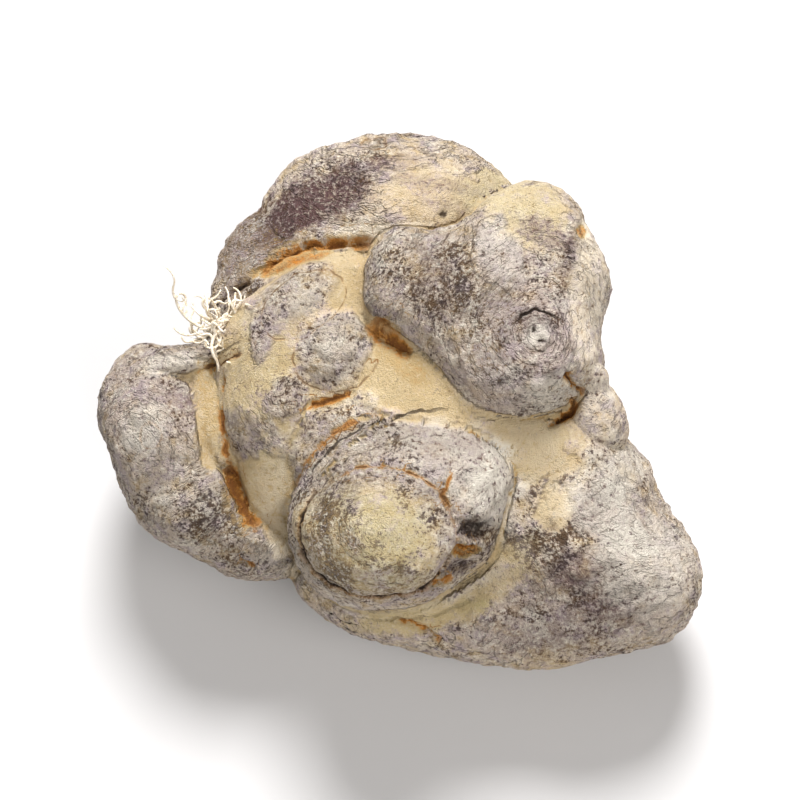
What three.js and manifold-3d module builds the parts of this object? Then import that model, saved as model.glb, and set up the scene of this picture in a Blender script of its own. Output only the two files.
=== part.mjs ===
// A dried notoginseng root: a knobbly tuber that grew as one piece, about 48 mm long.
// It is modelled as rounded lobes grown into each other. Lengths are in millimetres, +Z is up.
//
// The lobes are laid out in the root's own face frame: +X to the right, +Y towards the back of
// the crown, +Z out of the knobbly face. The whole root then leans back until it stands on its
// three trimmed branch stubs, on the plane z = 0, with the origin under the middle of its box.
import * as THREE from "three";
import { mergeVertices } from "three/addons/utils/BufferGeometryUtils.js";
import Module from "manifold-3d";

// Driving dimensions.
const FACE_LEAN = 18; // degrees that the knobbly face leans back when the root lies at rest
const REST_DEPTH = 15.6; // from the face frame's origin down to the plane that it rests on
const FACET = 2.6; // about the width of a facet on a lobe's skin
// As it dried the root warped a little, in slow waves: how far it moved, waves per millimetre.
const DRYING_WAVES = [
  { reach: 0.35, rate: 0.42 },
  { reach: 0.18, rate: 0.85 },
];
const SKIN = { color: 0xb3a793, roughness: 0.92, metalness: 0 };

// The lobes, region by region. Each one has a name, its centre [x, y, z], its radii [x, y, z],
// its spin about Z and the lift of its X end in degrees, and where it is boxier than an
// ellipsoid (2) its squareness.
const LOBES = {
  // The bulk of the root, mostly buried under the other lobes.
  bulk: [
    ["core", [0.5, -1.5, -3], [14.5, 13, 11], 0, 0],
    ["saddle", [8.6, -4, -0.5], [7.6, 6, 6.6], 0, 0],
    ["left_neck", [-12, -2, -4.2], [6.5, 7.5, 5.6], 10, 0],
    ["left_strip", [-14.8, -0.6, -1.1], [2.3, 4.8, 4.2], 4, 0],
    ["under_front", [1, -6, -7.5], [12.5, 9, 6.2], 0, 0],
    ["under_back", [0.5, 8, -9.5], [11.5, 9, 8.4], 0, 0],
    ["under_left", [-9.5, -1, -8], [7.5, 8, 6], 15, 0],
    ["under_right", [9.5, 1, -8], [6.4, 8, 7], 0, 0],
  ],
  // The main root, which tapers to a blunt end at the lower right.
  tap: [
    ["tap_crest", [14.4, -6.2, -1.2], [4.5, 4.6, 5.6], -30, 0],
    ["tap_shoulder", [10, -10, -2], [9.5, 8.2, 8.6], -22, 0],
    ["tap_middle", [14.4, -12, -2.4], [8.2, 7.6, 7.4], -28, 0],
    ["tap_end", [18.8, -14, -2.8], [5, 5, 5.4], -25, -5],
    ["under_tap", [12, -10, -6.5], [8, 7, 5.4], -25, 0],
  ],
  // The swelling along the front edge.
  belly: [
    ["belly", [3.3, -14, -3.2], [11.9, 6, 7.6], -2, 0],
    ["belly_right", [10.4, -15.2, -3.6], [9, 5.9, 7], -2, 0],
  ],
  // The big side knob, and the folds from it down to the belly.
  left_side: [
    ["left_knob", [-18.9, -2, -2.6], [5, 6.4, 7], 8, 0],
    ["left_heel", [-16, -7.4, -3.6], [5.6, 4.6, 6.8], -35, 0],
    ["left_fold", [-11.6, -10, -3.6], [5.4, 4.3, 6.2], -20, 0],
  ],
  // The thin ridge above the side knob, where a rootlet was rubbed off.
  left_ridge: [
    ["left_ridge", [-17, 3.3, 0.4], [4.8, 1.3, 2.4], 12, 0],
    ["left_ridge_end", [-13, 4.8, 1], [3, 1.2, 2.2], 32, 0],
  ],
  // The smooth cheek on the left of the face.
  cheek: [
    ["cheek", [-9, 0.2, 1], [5.3, 6.8, 6], 0, 0],
    ["brow", [-6.6, 5.9, 1], [7.8, 5.6, 5.8], 32, 0],
    ["cheek_low", [-8.2, -5, -0.4], [4.4, 5.4, 5.2], 0, 0],
  ],
  // Two flat buds on the cheek.
  cheek_buds: [
    ["cheek_bud", [-7.6, 7.3, 4.2], [3.8, 2.7, 2.9], 32, 0],
    ["cheek_bud_2", [-4.6, 3.3, 5], [3.5, 3.6, 2.8], 40, 0],
  ],
  // The broad lobe behind the face.
  back_lobe: [
    ["back_lobe", [-0.6, 13.2, -3.2], [10.8, 8, 7.4], 5, 0],
  ],
  // The lower tier of the broad lobe.
  back_tier: [
    ["back_tier", [-9, 9.2, -3.2], [5.8, 6.6, 6.6], -30, 0],
  ],
  // The cap that overhangs the saddle, grown together with the corner beside it.
  cap: [
    ["right_flank", [11.6, 4.6, 0], [4.6, 6.4, 6.6], 0, 0],
    ["corner", [10.6, 10.5, 1.6], [4.9, 6.6, 6.2], 20, 0, 2.6],
    ["cap_left", [0.8, 8.8, 5.2], [3.9, 4.3, 4.3], 20, 0],
    ["cap_bridge", [4.4, 6.6, 4.8], [5.4, 4.4, 5.2], -35, 0],
    ["cap_top", [5.6, 9.4, 4.2], [4.6, 4, 5.2], 0, 0],
    ["cap_right", [8.4, 3.9, 4.4], [6.6, 6.1, 6.2], 0, 0],
  ],
  // Two small buds under the cap's right end.
  right_buds: [
    ["right_bud", [14.7, -1.1, 1.4], [2.9, 3.4, 3.4], 14, 0],
    ["right_bud_2", [14.5, 1.7, 3.2], [1.7, 1.6, 2], 0, 0],
  ],
  // The front knob stands out of two collars, like the skins of an onion.
  collar_outer: [
    ["collar_outer", [-1.4, -5.4, 2.2], [8.2, 5.4, 6.4], -24, 0, 2.6],
  ],
  // The inner collar.
  collar_inner: [
    ["collar_inner", [0, -6.9, 3.2], [8.3, 6.2, 6.4], -8, 0, 2.6],
  ],
  // The front knob.
  knob: [
    ["knob", [0.8, -7.9, 4.3], [8, 6.5, 6.4], -8, 0, 2.4],
    ["disc_rim", [-1.3, -10.2, 4.2], [6.9, 6.1, 5.6], 0, 0, 2.3],
  ],
  // The domed disc at the front knob's end.
  knob_disc: [
    ["knob_disc", [-1.5, -10.1, 6.5], [6.4, 5.1, 5.4], 0, 0, 2.1],
  ],
  // Knobs low on the back.
  rear_knobs: [
    ["rear_knob", [6.8, 11.6, -9.4], [5.8, 5.6, 5.4], 0, 0],
    ["rear_knob_2", [-7.4, 10.8, -11], [4.2, 4.6, 4], 0, 0],
    ["rear_knob_3", [-2.6, 14.6, -8.8], [4, 3.9, 4.4], 30, 0],
    ["rear_bud", [2.6, 17.2, -9.6], [2.2, 1.9, 2.2], 0, 0],
  ],
  // Buds low on each side.
  side_buds: [
    ["flank_bud", [12.4, 4.5, -6.8], [3.6, 4.4, 4.2], 0, 0],
    ["under_bud", [-14, -0.4, -8.4], [4.4, 4.4, 4.2], 0, 0],
  ],
  // The trimmed branch stubs that the root stands on.
  stubs: [
    ["stub_front_left", [-6, -9, -9], [4, 3.8, 6], 0, 0],
    ["stub_front_right", [10.5, -11, -8], [4.2, 4, 6], 0, 0],
    ["stub_back", [0.5, 8.5, -13], [4.6, 4.4, 7.5], 0, 0],
  ],
};

const wasm = await Module();
wasm.setup();

// A closed three.js geometry as a manifold-3d solid.
function solidOf(geometry) {
  const bare = geometry.clone();
  bare.deleteAttribute("normal");
  bare.deleteAttribute("uv");
  const merged = mergeVertices(bare, 1e-4);
  return new wasm.Manifold(
    new wasm.Mesh({
      numProp: 3,
      vertProperties: merged.attributes.position.array,
      triVerts: new Uint32Array(merged.index.array),
    }),
  );
}

// A manifold-3d solid as a three.js geometry.
function geometryOf(solid) {
  const mesh = solid.getMesh();
  const geometry = new THREE.BufferGeometry();
  geometry.setAttribute("position", new THREE.BufferAttribute(mesh.vertProperties, 3));
  geometry.setIndex(new THREE.BufferAttribute(mesh.triVerts, 1));
  return geometry;
}

// Moves every point of a geometry by a function that changes the vector it is given.
function movePoints(geometry, move) {
  const { position } = geometry.attributes;
  const point = new THREE.Vector3();
  for (let i = 0; i < position.count; i++) {
    move(point.fromBufferAttribute(position, i));
    position.setXYZ(i, point.x, point.y, point.z);
  }
  return geometry;
}

// One lobe: a ball of even facets, squared off, stretched to its radii, turned and put in place.
function lobe([, centre, radii, spin, lift, squareness = 2]) {
  const ball = new THREE.IcosahedronGeometry(1, Math.ceil(Math.max(...radii) / FACET));
  movePoints(ball, (p) => {
    const sum = [p.x, p.y, p.z].reduce((all, part) => all + Math.abs(part) ** squareness, 0);
    p.divideScalar(sum ** (1 / squareness));
  });
  const { degToRad } = THREE.MathUtils;
  const turn = new THREE.Euler(0, degToRad(-lift), degToRad(spin), "ZYX");
  const place = new THREE.Matrix4().compose(
    new THREE.Vector3(...centre),
    new THREE.Quaternion().setFromEuler(turn),
    new THREE.Vector3(...radii),
  );
  return ball.applyMatrix4(place);
}

// The slow waves, which keep any lobe from staying a true ellipsoid.
function warp(point) {
  const { x, y, z } = point;
  for (const { reach, rate } of DRYING_WAVES) {
    point.x += reach * Math.sin(rate * (y + 7));
    point.y += reach * Math.sin(rate * (z + 11));
    point.z += reach * Math.sin(rate * (x + 3));
  }
}

// Everything below the resting plane, which the trimming knife takes off the stubs.
function trimmings() {
  const width = 100;
  const height = 30;
  const block = new THREE.BoxGeometry(width, width, height);
  return block.translate(0, 0, -REST_DEPTH - height / 2);
}

// The whole root at rest.
function rootGeometry() {
  const lobes = Object.values(LOBES).flat().map((row) => solidOf(lobe(row)));
  const grown = geometryOf(lobes.reduce((all, next) => all.add(next)));
  const leaning = movePoints(grown, warp).rotateX(THREE.MathUtils.degToRad(FACE_LEAN));
  const trimmed = geometryOf(solidOf(leaning).subtract(solidOf(trimmings())));
  trimmed.computeBoundingBox();
  const { min, max } = trimmed.boundingBox;
  return trimmed.translate(-(min.x + max.x) / 2, -(min.y + max.y) / 2, -min.z);
}

const root = new THREE.Mesh(rootGeometry(), new THREE.MeshStandardMaterial(SKIN));
root.name = "notoginseng_root";

const part = new THREE.Group();
part.add(root);
export default part;
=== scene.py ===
"""A dried notoginseng root: one knobbly tuber with a dry, peppery skin, and the tuft of rootlet
fibres left on its side. It is laid out as an add-on, with one operator for each piece.

The tables are in millimetres, in the root's own face frame: u to the right, v towards the back
of the crown, w out of the knobbly face. The root leans back until it rests on the plane z = 0."""

import math
import random
from typing import NamedTuple

import bmesh
import bpy
import numpy as np
from bpy.props import FloatProperty, FloatVectorProperty, IntProperty, PointerProperty
from mathutils import Color, Matrix, Vector, noise


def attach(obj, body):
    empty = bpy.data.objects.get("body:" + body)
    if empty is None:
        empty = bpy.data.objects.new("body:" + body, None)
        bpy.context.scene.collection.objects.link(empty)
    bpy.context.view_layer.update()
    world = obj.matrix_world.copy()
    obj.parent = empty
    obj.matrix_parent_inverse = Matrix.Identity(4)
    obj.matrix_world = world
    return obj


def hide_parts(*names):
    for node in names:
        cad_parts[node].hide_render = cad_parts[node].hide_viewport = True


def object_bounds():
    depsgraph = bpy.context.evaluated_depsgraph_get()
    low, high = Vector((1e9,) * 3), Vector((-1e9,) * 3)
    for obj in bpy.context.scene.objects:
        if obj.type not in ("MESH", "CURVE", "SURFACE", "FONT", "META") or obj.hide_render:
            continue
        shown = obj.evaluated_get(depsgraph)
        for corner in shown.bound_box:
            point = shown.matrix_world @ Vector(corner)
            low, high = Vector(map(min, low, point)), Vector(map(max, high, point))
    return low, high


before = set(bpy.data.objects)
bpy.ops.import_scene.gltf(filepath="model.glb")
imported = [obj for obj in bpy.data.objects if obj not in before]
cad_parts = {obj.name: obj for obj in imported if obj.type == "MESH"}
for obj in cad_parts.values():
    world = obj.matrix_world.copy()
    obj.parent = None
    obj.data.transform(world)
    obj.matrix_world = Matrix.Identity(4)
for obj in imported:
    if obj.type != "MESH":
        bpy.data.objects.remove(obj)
CAD_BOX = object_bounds()

bl_info = {
    "name": "Dried Notoginseng Root",
    "version": (1, 0, 0),
    "blender": (4, 5, 0),
    "location": "View3D > Sidebar > Root",
    "description": "Grows a dried, knobbly root, with its skin and a tuft of rootlet fibres",
    "category": "Add Mesh",
}

MM = 0.001
BODY = "root"
CAD_NODE = "notoginseng_root"


# ----------------------------------------------------------------------------------------------
# The form: lobes that have grown into each other, region by region
# ----------------------------------------------------------------------------------------------


class Lobe(NamedTuple):
    """A rounded swelling. Squareness 2 is an ellipsoid, and more is boxier."""

    centre: tuple
    radii: tuple
    spin: float = 0
    lift: float = 0
    squareness: float = 2


class Region(NamedTuple):
    """Lobes under one stretch of skin: how softly they run into each other (blend) and into the
    rest (join), how deep the groove round them is, how grey and how green the skin is, and the
    heart and axis that its wrinkles and specks run round."""

    blend: float
    join: float
    groove: float
    grey: float
    green: float
    heart: tuple
    axis: tuple
    lobes: dict


REGIONS = {
    "bulk": Region(
        blend=2.5, join=1.5, groove=0, grey=0.3, green=0.1,
        heart=(-2, -0.8, -5.2), axis=(0, 0, 1),
        lobes={
            "core": Lobe((0.5, -1.5, -3), (14.5, 13, 11)),
            "saddle": Lobe((8.6, -4, -0.5), (7.6, 6, 6.6)),
            "left_neck": Lobe((-12, -2, -4.2), (6.5, 7.5, 5.6), spin=10),
            "left_strip": Lobe((-14.8, -0.6, -1.1), (2.3, 4.8, 4.2), spin=4),
            "under_front": Lobe((1, -6, -7.5), (12.5, 9, 6.2)),
            "under_back": Lobe((0.5, 8, -9.5), (11.5, 9, 8.4)),
            "under_left": Lobe((-9.5, -1, -8), (7.5, 8, 6), spin=15),
            "under_right": Lobe((9.5, 1, -8), (6.4, 8, 7)),
        },
    ),
    "tap": Region(
        blend=2.5, join=1.6, groove=0, grey=0.78, green=0,
        heart=(12, -11, -4), axis=(0.42, 0.9, 0),
        lobes={
            "tap_crest": Lobe((14.4, -6.2, -1.2), (4.5, 4.6, 5.6), spin=-30),
            "tap_shoulder": Lobe((10, -10, -2), (9.5, 8.2, 8.6), spin=-22),
            "tap_middle": Lobe((14.4, -12, -2.4), (8.2, 7.6, 7.4), spin=-28),
            "tap_end": Lobe((18.8, -14, -2.8), (5, 5, 5.4), spin=-25, lift=-5),
            "under_tap": Lobe((12, -10, -6.5), (8, 7, 5.4), spin=-25),
        },
    ),
    "belly": Region(
        blend=2.5, join=1.6, groove=0, grey=0.62, green=0.15,
        heart=(5, -13, -6), axis=(0.1, 1, 0),
        lobes={
            "belly": Lobe((3.3, -14, -3.2), (11.9, 6, 7.6), spin=-2),
            "belly_right": Lobe((10.4, -15.2, -3.6), (9, 5.9, 7), spin=-2),
        },
    ),
    "left_side": Region(
        blend=1.2, join=0.5, groove=0.12, grey=0.8, green=0,
        heart=(-15, -4, -5), axis=(-0.55, 0.1, 0.82),
        lobes={
            "left_knob": Lobe((-18.9, -2, -2.6), (5, 6.4, 7), spin=8),
            "left_heel": Lobe((-16, -7.4, -3.6), (5.6, 4.6, 6.8), spin=-35),
            "left_fold": Lobe((-11.6, -10, -3.6), (5.4, 4.3, 6.2), spin=-20),
        },
    ),
    "left_ridge": Region(
        blend=0.8, join=0.4, groove=0.1, grey=0.8, green=0,
        heart=(-15, 4, 0.7), axis=(0.1, 1, 0),
        lobes={
            "left_ridge": Lobe((-17, 3.3, 0.4), (4.8, 1.3, 2.4), spin=12),
            "left_ridge_end": Lobe((-13, 4.8, 1), (3, 1.2, 2.2), spin=32),
        },
    ),
    "cheek": Region(
        blend=2.5, join=0.8, groove=0.15, grey=0.25, green=0.08,
        heart=(-8, 0, -3), axis=(0, 0, 1),
        lobes={
            "cheek": Lobe((-9, 0.2, 1), (5.3, 6.8, 6)),
            "brow": Lobe((-6.6, 5.9, 1), (7.8, 5.6, 5.8), spin=32),
            "cheek_low": Lobe((-8.2, -5, -0.4), (4.4, 5.4, 5.2)),
        },
    ),
    "cheek_buds": Region(
        blend=0.5, join=0.7, groove=0, grey=0.92, green=0,
        heart=(-6.1, 5.3, 4.6), axis=(0, 0, 1),
        lobes={
            "cheek_bud": Lobe((-7.6, 7.3, 4.2), (3.8, 2.7, 2.9), spin=32),
            "cheek_bud_2": Lobe((-4.6, 3.3, 5), (3.5, 3.6, 2.8), spin=40),
        },
    ),
    "back_lobe": Region(
        blend=1, join=0.8, groove=0.1, grey=0.62, green=0,
        heart=(-0.6, 13.2, -5), axis=(0.05, 1, 0.1),
        lobes={
            "back_lobe": Lobe((-0.6, 13.2, -3.2), (10.8, 8, 7.4), spin=5),
        },
    ),
    "back_tier": Region(
        blend=1, join=0.5, groove=0.2, grey=0.8, green=0,
        heart=(-9, 9.2, -3.2), axis=(-0.3, 1, 0.1),
        lobes={
            "back_tier": Lobe((-9, 9.2, -3.2), (5.8, 6.6, 6.6), spin=-30),
        },
    ),
    "cap": Region(
        blend=1.6, join=0.2, groove=0.35, grey=0.8, green=0,
        heart=(9.6, 5, -2), axis=(0.08, 0, 1),
        lobes={
            "right_flank": Lobe((11.6, 4.6, 0), (4.6, 6.4, 6.6)),
            "corner": Lobe((10.6, 10.5, 1.6), (4.9, 6.6, 6.2), spin=20, squareness=2.6),
            "cap_left": Lobe((0.8, 8.8, 5.2), (3.9, 4.3, 4.3), spin=20),
            "cap_bridge": Lobe((4.4, 6.6, 4.8), (5.4, 4.4, 5.2), spin=-35),
            "cap_top": Lobe((5.6, 9.4, 4.2), (4.6, 4, 5.2)),
            "cap_right": Lobe((8.4, 3.9, 4.4), (6.6, 6.1, 6.2)),
        },
    ),
    "right_buds": Region(
        blend=0.4, join=0.6, groove=0.1, grey=0.6, green=0,
        heart=(14.6, 0.3, 2.3), axis=(0, 0, 1),
        lobes={
            "right_bud": Lobe((14.7, -1.1, 1.4), (2.9, 3.4, 3.4), spin=14),
            "right_bud_2": Lobe((14.5, 1.7, 3.2), (1.7, 1.6, 2)),
        },
    ),
    "collar_outer": Region(
        blend=1, join=0.25, groove=0.25, grey=0.72, green=0,
        heart=(-0.5, -7, -2), axis=(0, 0, 1),
        lobes={
            "collar_outer": Lobe((-1.4, -5.4, 2.2), (8.2, 5.4, 6.4), spin=-24, squareness=2.6),
        },
    ),
    "collar_inner": Region(
        blend=1, join=0.2, groove=0.25, grey=0.75, green=0,
        heart=(0, -7.6, -2), axis=(0, 0, 1),
        lobes={
            "collar_inner": Lobe((0, -6.9, 3.2), (8.3, 6.2, 6.4), spin=-8, squareness=2.6),
        },
    ),
    "knob": Region(
        blend=1, join=0.2, groove=0.25, grey=0.78, green=0,
        heart=(0.5, -8.6, -1), axis=(0, 0, 1),
        lobes={
            "knob": Lobe((0.8, -7.9, 4.3), (8, 6.5, 6.4), spin=-8, squareness=2.4),
            "disc_rim": Lobe((-1.3, -10.2, 4.2), (6.9, 6.1, 5.6), squareness=2.3),
        },
    ),
    "knob_disc": Region(
        blend=1, join=0.5, groove=0.1, grey=0.4, green=0.55,
        heart=(-1.5, -10.1, 3), axis=(0, 0, 1),
        lobes={
            "knob_disc": Lobe((-1.5, -10.1, 6.5), (6.4, 5.1, 5.4), squareness=2.1),
        },
    ),
    "rear_knobs": Region(
        blend=0.6, join=0.5, groove=0.3, grey=0.75, green=0.05,
        heart=(-0.2, 13.6, -9.7), axis=(0, 1, -0.4),
        lobes={
            "rear_knob": Lobe((6.8, 11.6, -9.4), (5.8, 5.6, 5.4)),
            "rear_knob_2": Lobe((-7.4, 10.8, -11), (4.2, 4.6, 4)),
            "rear_knob_3": Lobe((-2.6, 14.6, -8.8), (4, 3.9, 4.4), spin=30),
            "rear_bud": Lobe((2.6, 17.2, -9.6), (2.2, 1.9, 2.2)),
        },
    ),
    "side_buds": Region(
        blend=0.6, join=0.7, groove=0.2, grey=0.7, green=0,
        heart=(-0.8, 2, -7.6), axis=(0, 0, -1),
        lobes={
            "flank_bud": Lobe((12.4, 4.5, -6.8), (3.6, 4.4, 4.2)),
            "under_bud": Lobe((-14, -0.4, -8.4), (4.4, 4.4, 4.2)),
        },
    ),
    "stubs": Region(
        blend=1, join=1.2, groove=0, grey=0.45, green=0,
        heart=(1.7, -3.8, -10), axis=(0, 0.3, -1),
        lobes={
            "stub_front_left": Lobe((-6, -9, -9), (4, 3.8, 6)),
            "stub_front_right": Lobe((10.5, -11, -8), (4.2, 4, 6)),
            "stub_back": Lobe((0.5, 8.5, -13), (4.6, 4.4, 7.5)),
        },
    ),
}


# ----------------------------------------------------------------------------------------------
# What is on the face, placed by u and v: cracks, pits, rings and patches, some of which are painted light
# and shade
# ----------------------------------------------------------------------------------------------


class Crack(NamedTuple):
    """A crack along a line of points: its half width, its depth, how orange and how dark it is
    inside, how far its lips stand up, how pale it is, and the regions that it is on if not on
    all. A negative depth makes a raised line."""

    points: tuple
    width: float
    depth: float
    orange: float = 0
    dark: float = 0
    lip: float = 0
    pale: float = 0
    on: tuple = ()


class Ring(NamedTuple):
    """A crack round an oval: its centre, its radii, where in the turn it starts and ends in
    degrees, what it looks like (a crack with no points of its own), and the oval's tilt."""

    centre: tuple
    radii: tuple
    turn: tuple
    crack: Crack
    tilt: float = 0


class Patch(NamedTuple):
    """A soft-edged oval of other skin: how much greyer, greener, more stained, paler, rougher and
    so on it is, how deep it lies, and the regions that it is on if not on all. Some patches are
    painted light, paler where the skin lies in shade, and some are painted shade, darker."""

    centre: tuple
    radii: tuple
    turn: float = 0
    grey: float = 0
    green: float = 0
    stain: float = 0
    pale: float = 0
    orange: float = 0
    dark: float = 0
    rough: float = 0
    violet: float = 0
    depth: float = 0
    on: tuple = ()


CRACKS = {
    "behind the brow": Crack(
        ((-10.9, 9.6), (-10.0, 10.8), (-8.6, 11.6), (-7.2, 12.0), (-4.6, 12.1), (-2.0, 12.1)),
        width=0.34, depth=0.5, orange=1, dark=0.35, lip=0.1,
    ),
    "left end of the brow": Crack(
        ((-14.8, 7.2), (-14.0, 7.9), (-12.8, 8.6), (-11.6, 9.3)),
        width=0.3, depth=0.5, orange=0.2, dark=0.8,
    ),
    "notch in the back lobe": Crack(
        ((-11.4, 14.2), (-10.4, 14.1), (-9.6, 13.2), (-9.0, 12.4)), width=0.22, depth=0.3, dark=0.5
    ),
    "under the left ridge": Crack(
        ((-15.4, 2.3), (-14.6, 2.5), (-13.3, 3.2), (-12.2, 3.8)),
        width=0.16, depth=0.25, orange=0.5, dark=0.7,
    ),
    "left end of the ridge": Crack(
        ((-22.0, 2.6), (-20.8, 3.3), (-19.4, 3.6), (-17.8, 3.5)), width=0.14, depth=0.25, dark=0.6
    ),
    "first strand of the ridge": Crack(
        ((-21.0, 3.3), (-18.6, 4.2), (-16.2, 4.4), (-14.2, 4.7), (-12.6, 5.4)),
        width=0.16, depth=0.2, dark=0.5,
    ),
    "second strand of the ridge": Crack(
        ((-18.0, 3.6), (-15.8, 3.4), (-14.0, 3.8), (-12.2, 4.6)), width=0.16, depth=0.2, dark=0.45
    ),
    "beside the cheek": Crack(
        ((-13.9, 2.4), (-13.8, 0.4), (-13.8, -1.8), (-13.6, -4.2), (-13.2, -5.6)),
        width=0.22, depth=0.35, orange=0.9, dark=0.25,
    ),
    "beside the left fold": Crack(
        ((-13.5, -5.0), (-12.9, -6.6), (-12.3, -8.0), (-11.2, -10.4)),
        width=0.62, depth=0.45, orange=1, dark=0.4,
    ),
    "between the collars": Crack(
        ((-8.3, -6.8), (-7.6, -5.4), (-6.8, -4.1), (-4.9, -2.3), (-2.8, -1.3), (-0.9, -0.7)),
        width=0.16, depth=0.12, orange=0.8,
    ),
    "over the outer collar": Crack(
        ((-7.9, -0.9), (-6.4, -0.3), (-5.2, 0.0), (-4.2, 0.35), (-3.2, 0.8)),
        width=0.2, depth=0.3, orange=1, dark=0.45,
    ),
    "between brow and cap": Crack(
        ((-2.1, 6.3), (-1.3, 5.3), (-0.2, 4.4), (1.0, 3.6)),
        width=0.72, depth=0.9, orange=1, dark=0.45,
    ),
    "right of the cap": Crack(
        ((12.9, 2.0), (13.5, 1.0), (14.3, 0.6)), width=0.34, depth=0.7, orange=1, dark=0.6
    ),
    "below the cap's end": Crack(
        ((11.4, -2.1), (12.2, -1.6), (13.1, -0.9), (13.5, 0.2)),
        width=0.32, depth=0.7, orange=1, dark=0.6,
    ),
    "over the disc": Crack(
        ((-1.7, -4.9), (-0.6, -5.1), (0.8, -5.5)), width=0.12, depth=0.15, orange=0.9, dark=0.2
    ),
    "first ray of the disc": Crack(
        ((3.1, -7.4), (3.6, -6.4), (4.1, -5.5)), width=0.1, depth=0.15, orange=0.9, dark=0.1
    ),
    "second ray of the disc": Crack(
        ((3.0, -7.0), (3.9, -8.6), (4.4, -9.9), (4.3, -12.0)),
        width=0.14, depth=0.2, orange=0.35, dark=0.3,
    ),
    "right of the disc": Crack(
        ((4.4, -11.4), (5.2, -11.6), (6.1, -11.4)), width=0.26, depth=0.4, orange=1, dark=0.1
    ),
    "foot of the disc": Crack(
        ((2.3, -14.2), (3.2, -13.9), (4.1, -13.4)), width=0.24, depth=0.4, orange=1, dark=0.1
    ),
    "across the belly": Crack(
        ((-0.8, -16.9), (0.2, -17.2), (1.2, -17.4), (2.2, -18.0), (3.3, -18.9)),
        width=0.24, depth=0.4, orange=1, dark=0.3, lip=0.1,
    ),
    "upper fold of the belly": Crack(
        ((-7.0, -14.9), (-3.9, -16.2), (0.0, -16.3), (3.6, -15.6), (8.4, -12.4)),
        width=0.4, depth=-0.22, pale=0.3,
    ),
    "under the upper fold": Crack(
        ((-5.6, -16.5), (-2.0, -17.3), (2.4, -16.9), (6.4, -15.2)), width=0.2, depth=0.22, dark=0.25
    ),
    "below the left fold": Crack(
        ((-12.9, -12.7), (-12.0, -13.0), (-11.2, -13.4)), width=0.25, depth=0.4, orange=0.8, dark=0.2
    ),
    "left end of the belly": Crack(
        ((-9.6, -14.2), (-8.8, -14.6), (-8.2, -15.4)), width=0.3, depth=0.5, dark=0.7
    ),
    "frayed belly": Crack(
        ((-6.0, -16.6), (-4.6, -17.4), (-3.2, -17.8)), width=0.16, depth=0.3, dark=1, lip=0.1
    ),
    "frayed belly again": Crack(
        ((-5.4, -17.5), (-4.2, -18.2), (-2.6, -18.7)), width=0.14, depth=0.3, dark=0.9
    ),
    "third fray of the belly": Crack(
        ((-4.6, -18.4), (-3.4, -19.0), (-1.8, -19.4)), width=0.14, depth=0.3, dark=0.8
    ),
    "lip of the knob": Crack(
        ((-7.2, -8.2), (-6.2, -5.7), (-4.4, -3.9), (-2.2, -2.8), (0.6, -1.8), (3.6, -1.5)),
        width=0.3, depth=0, pale=0.35,
    ),
    "second lip of the knob": Crack(
        ((-6.6, -8.0), (-5.6, -6.0), (-3.8, -4.4), (-1.6, -3.5), (1.0, -2.8), (4.0, -2.6)),
        width=0.1, depth=0.05, dark=0.4,
    ),
    "round the knob": Crack(
        ((-8.1, -8.4), (-7.9, -7.3), (-6.7, -5.2), (-4.9, -3.3), (-2.7, -2.0), (0.6, -1.0), (3.9, -0.7)),
        width=0.14, depth=0.15, dark=0.8,
    ),
    "rim of the outer collar": Crack(
        ((-9.1, -6.2), (-9.0, -3.6), (-8.0, -1.6), (-6.2, -0.7), (-4.2, -0.2), (-1.6, 0.1)),
        width=0.26, depth=0, pale=0.3,
    ),
    "lip of the cap": Crack(
        ((-2.4, 6.7), (-1.2, 6.2), (0.4, 5.6), (1.2, 4.3), (2.3, 3.0), (3.6, 1.4), (5.4, -0.2), (7.6, -1.6)),
        width=0.3, depth=0, pale=0.4, on=("cap",),
    ),
    "step on the cap": Crack(
        (
            (5.1, 15.0), (5.6, 13.6), (5.7, 12.4), (5.4, 11.0), (5.7, 9.7),
            (6.6, 9.1), (7.5, 8.7), (8.5, 8.0), (8.9, 6.8),
        ),
        width=0.09, depth=0.1, dark=0.4,
    ),
    "lid of the scar": Crack(
        ((8.9, 5.9), (9.4, 6.6), (10.4, 7.1), (11.2, 6.9), (12.4, 6.2)),
        width=0.17, depth=0.4, dark=1, lip=0.15,
    ),
    "right of the scar": Crack(
        ((12.3, 5.6), (12.4, 4.4), (11.8, 3.4)), width=0.1, depth=0.12, dark=0.6
    ),
    "scratch on the main root": Crack(
        ((18.2, -12.2), (19.2, -11.8), (20.2, -11.5)), width=0.1, depth=-0.03, pale=0.9
    ),
}

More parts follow.
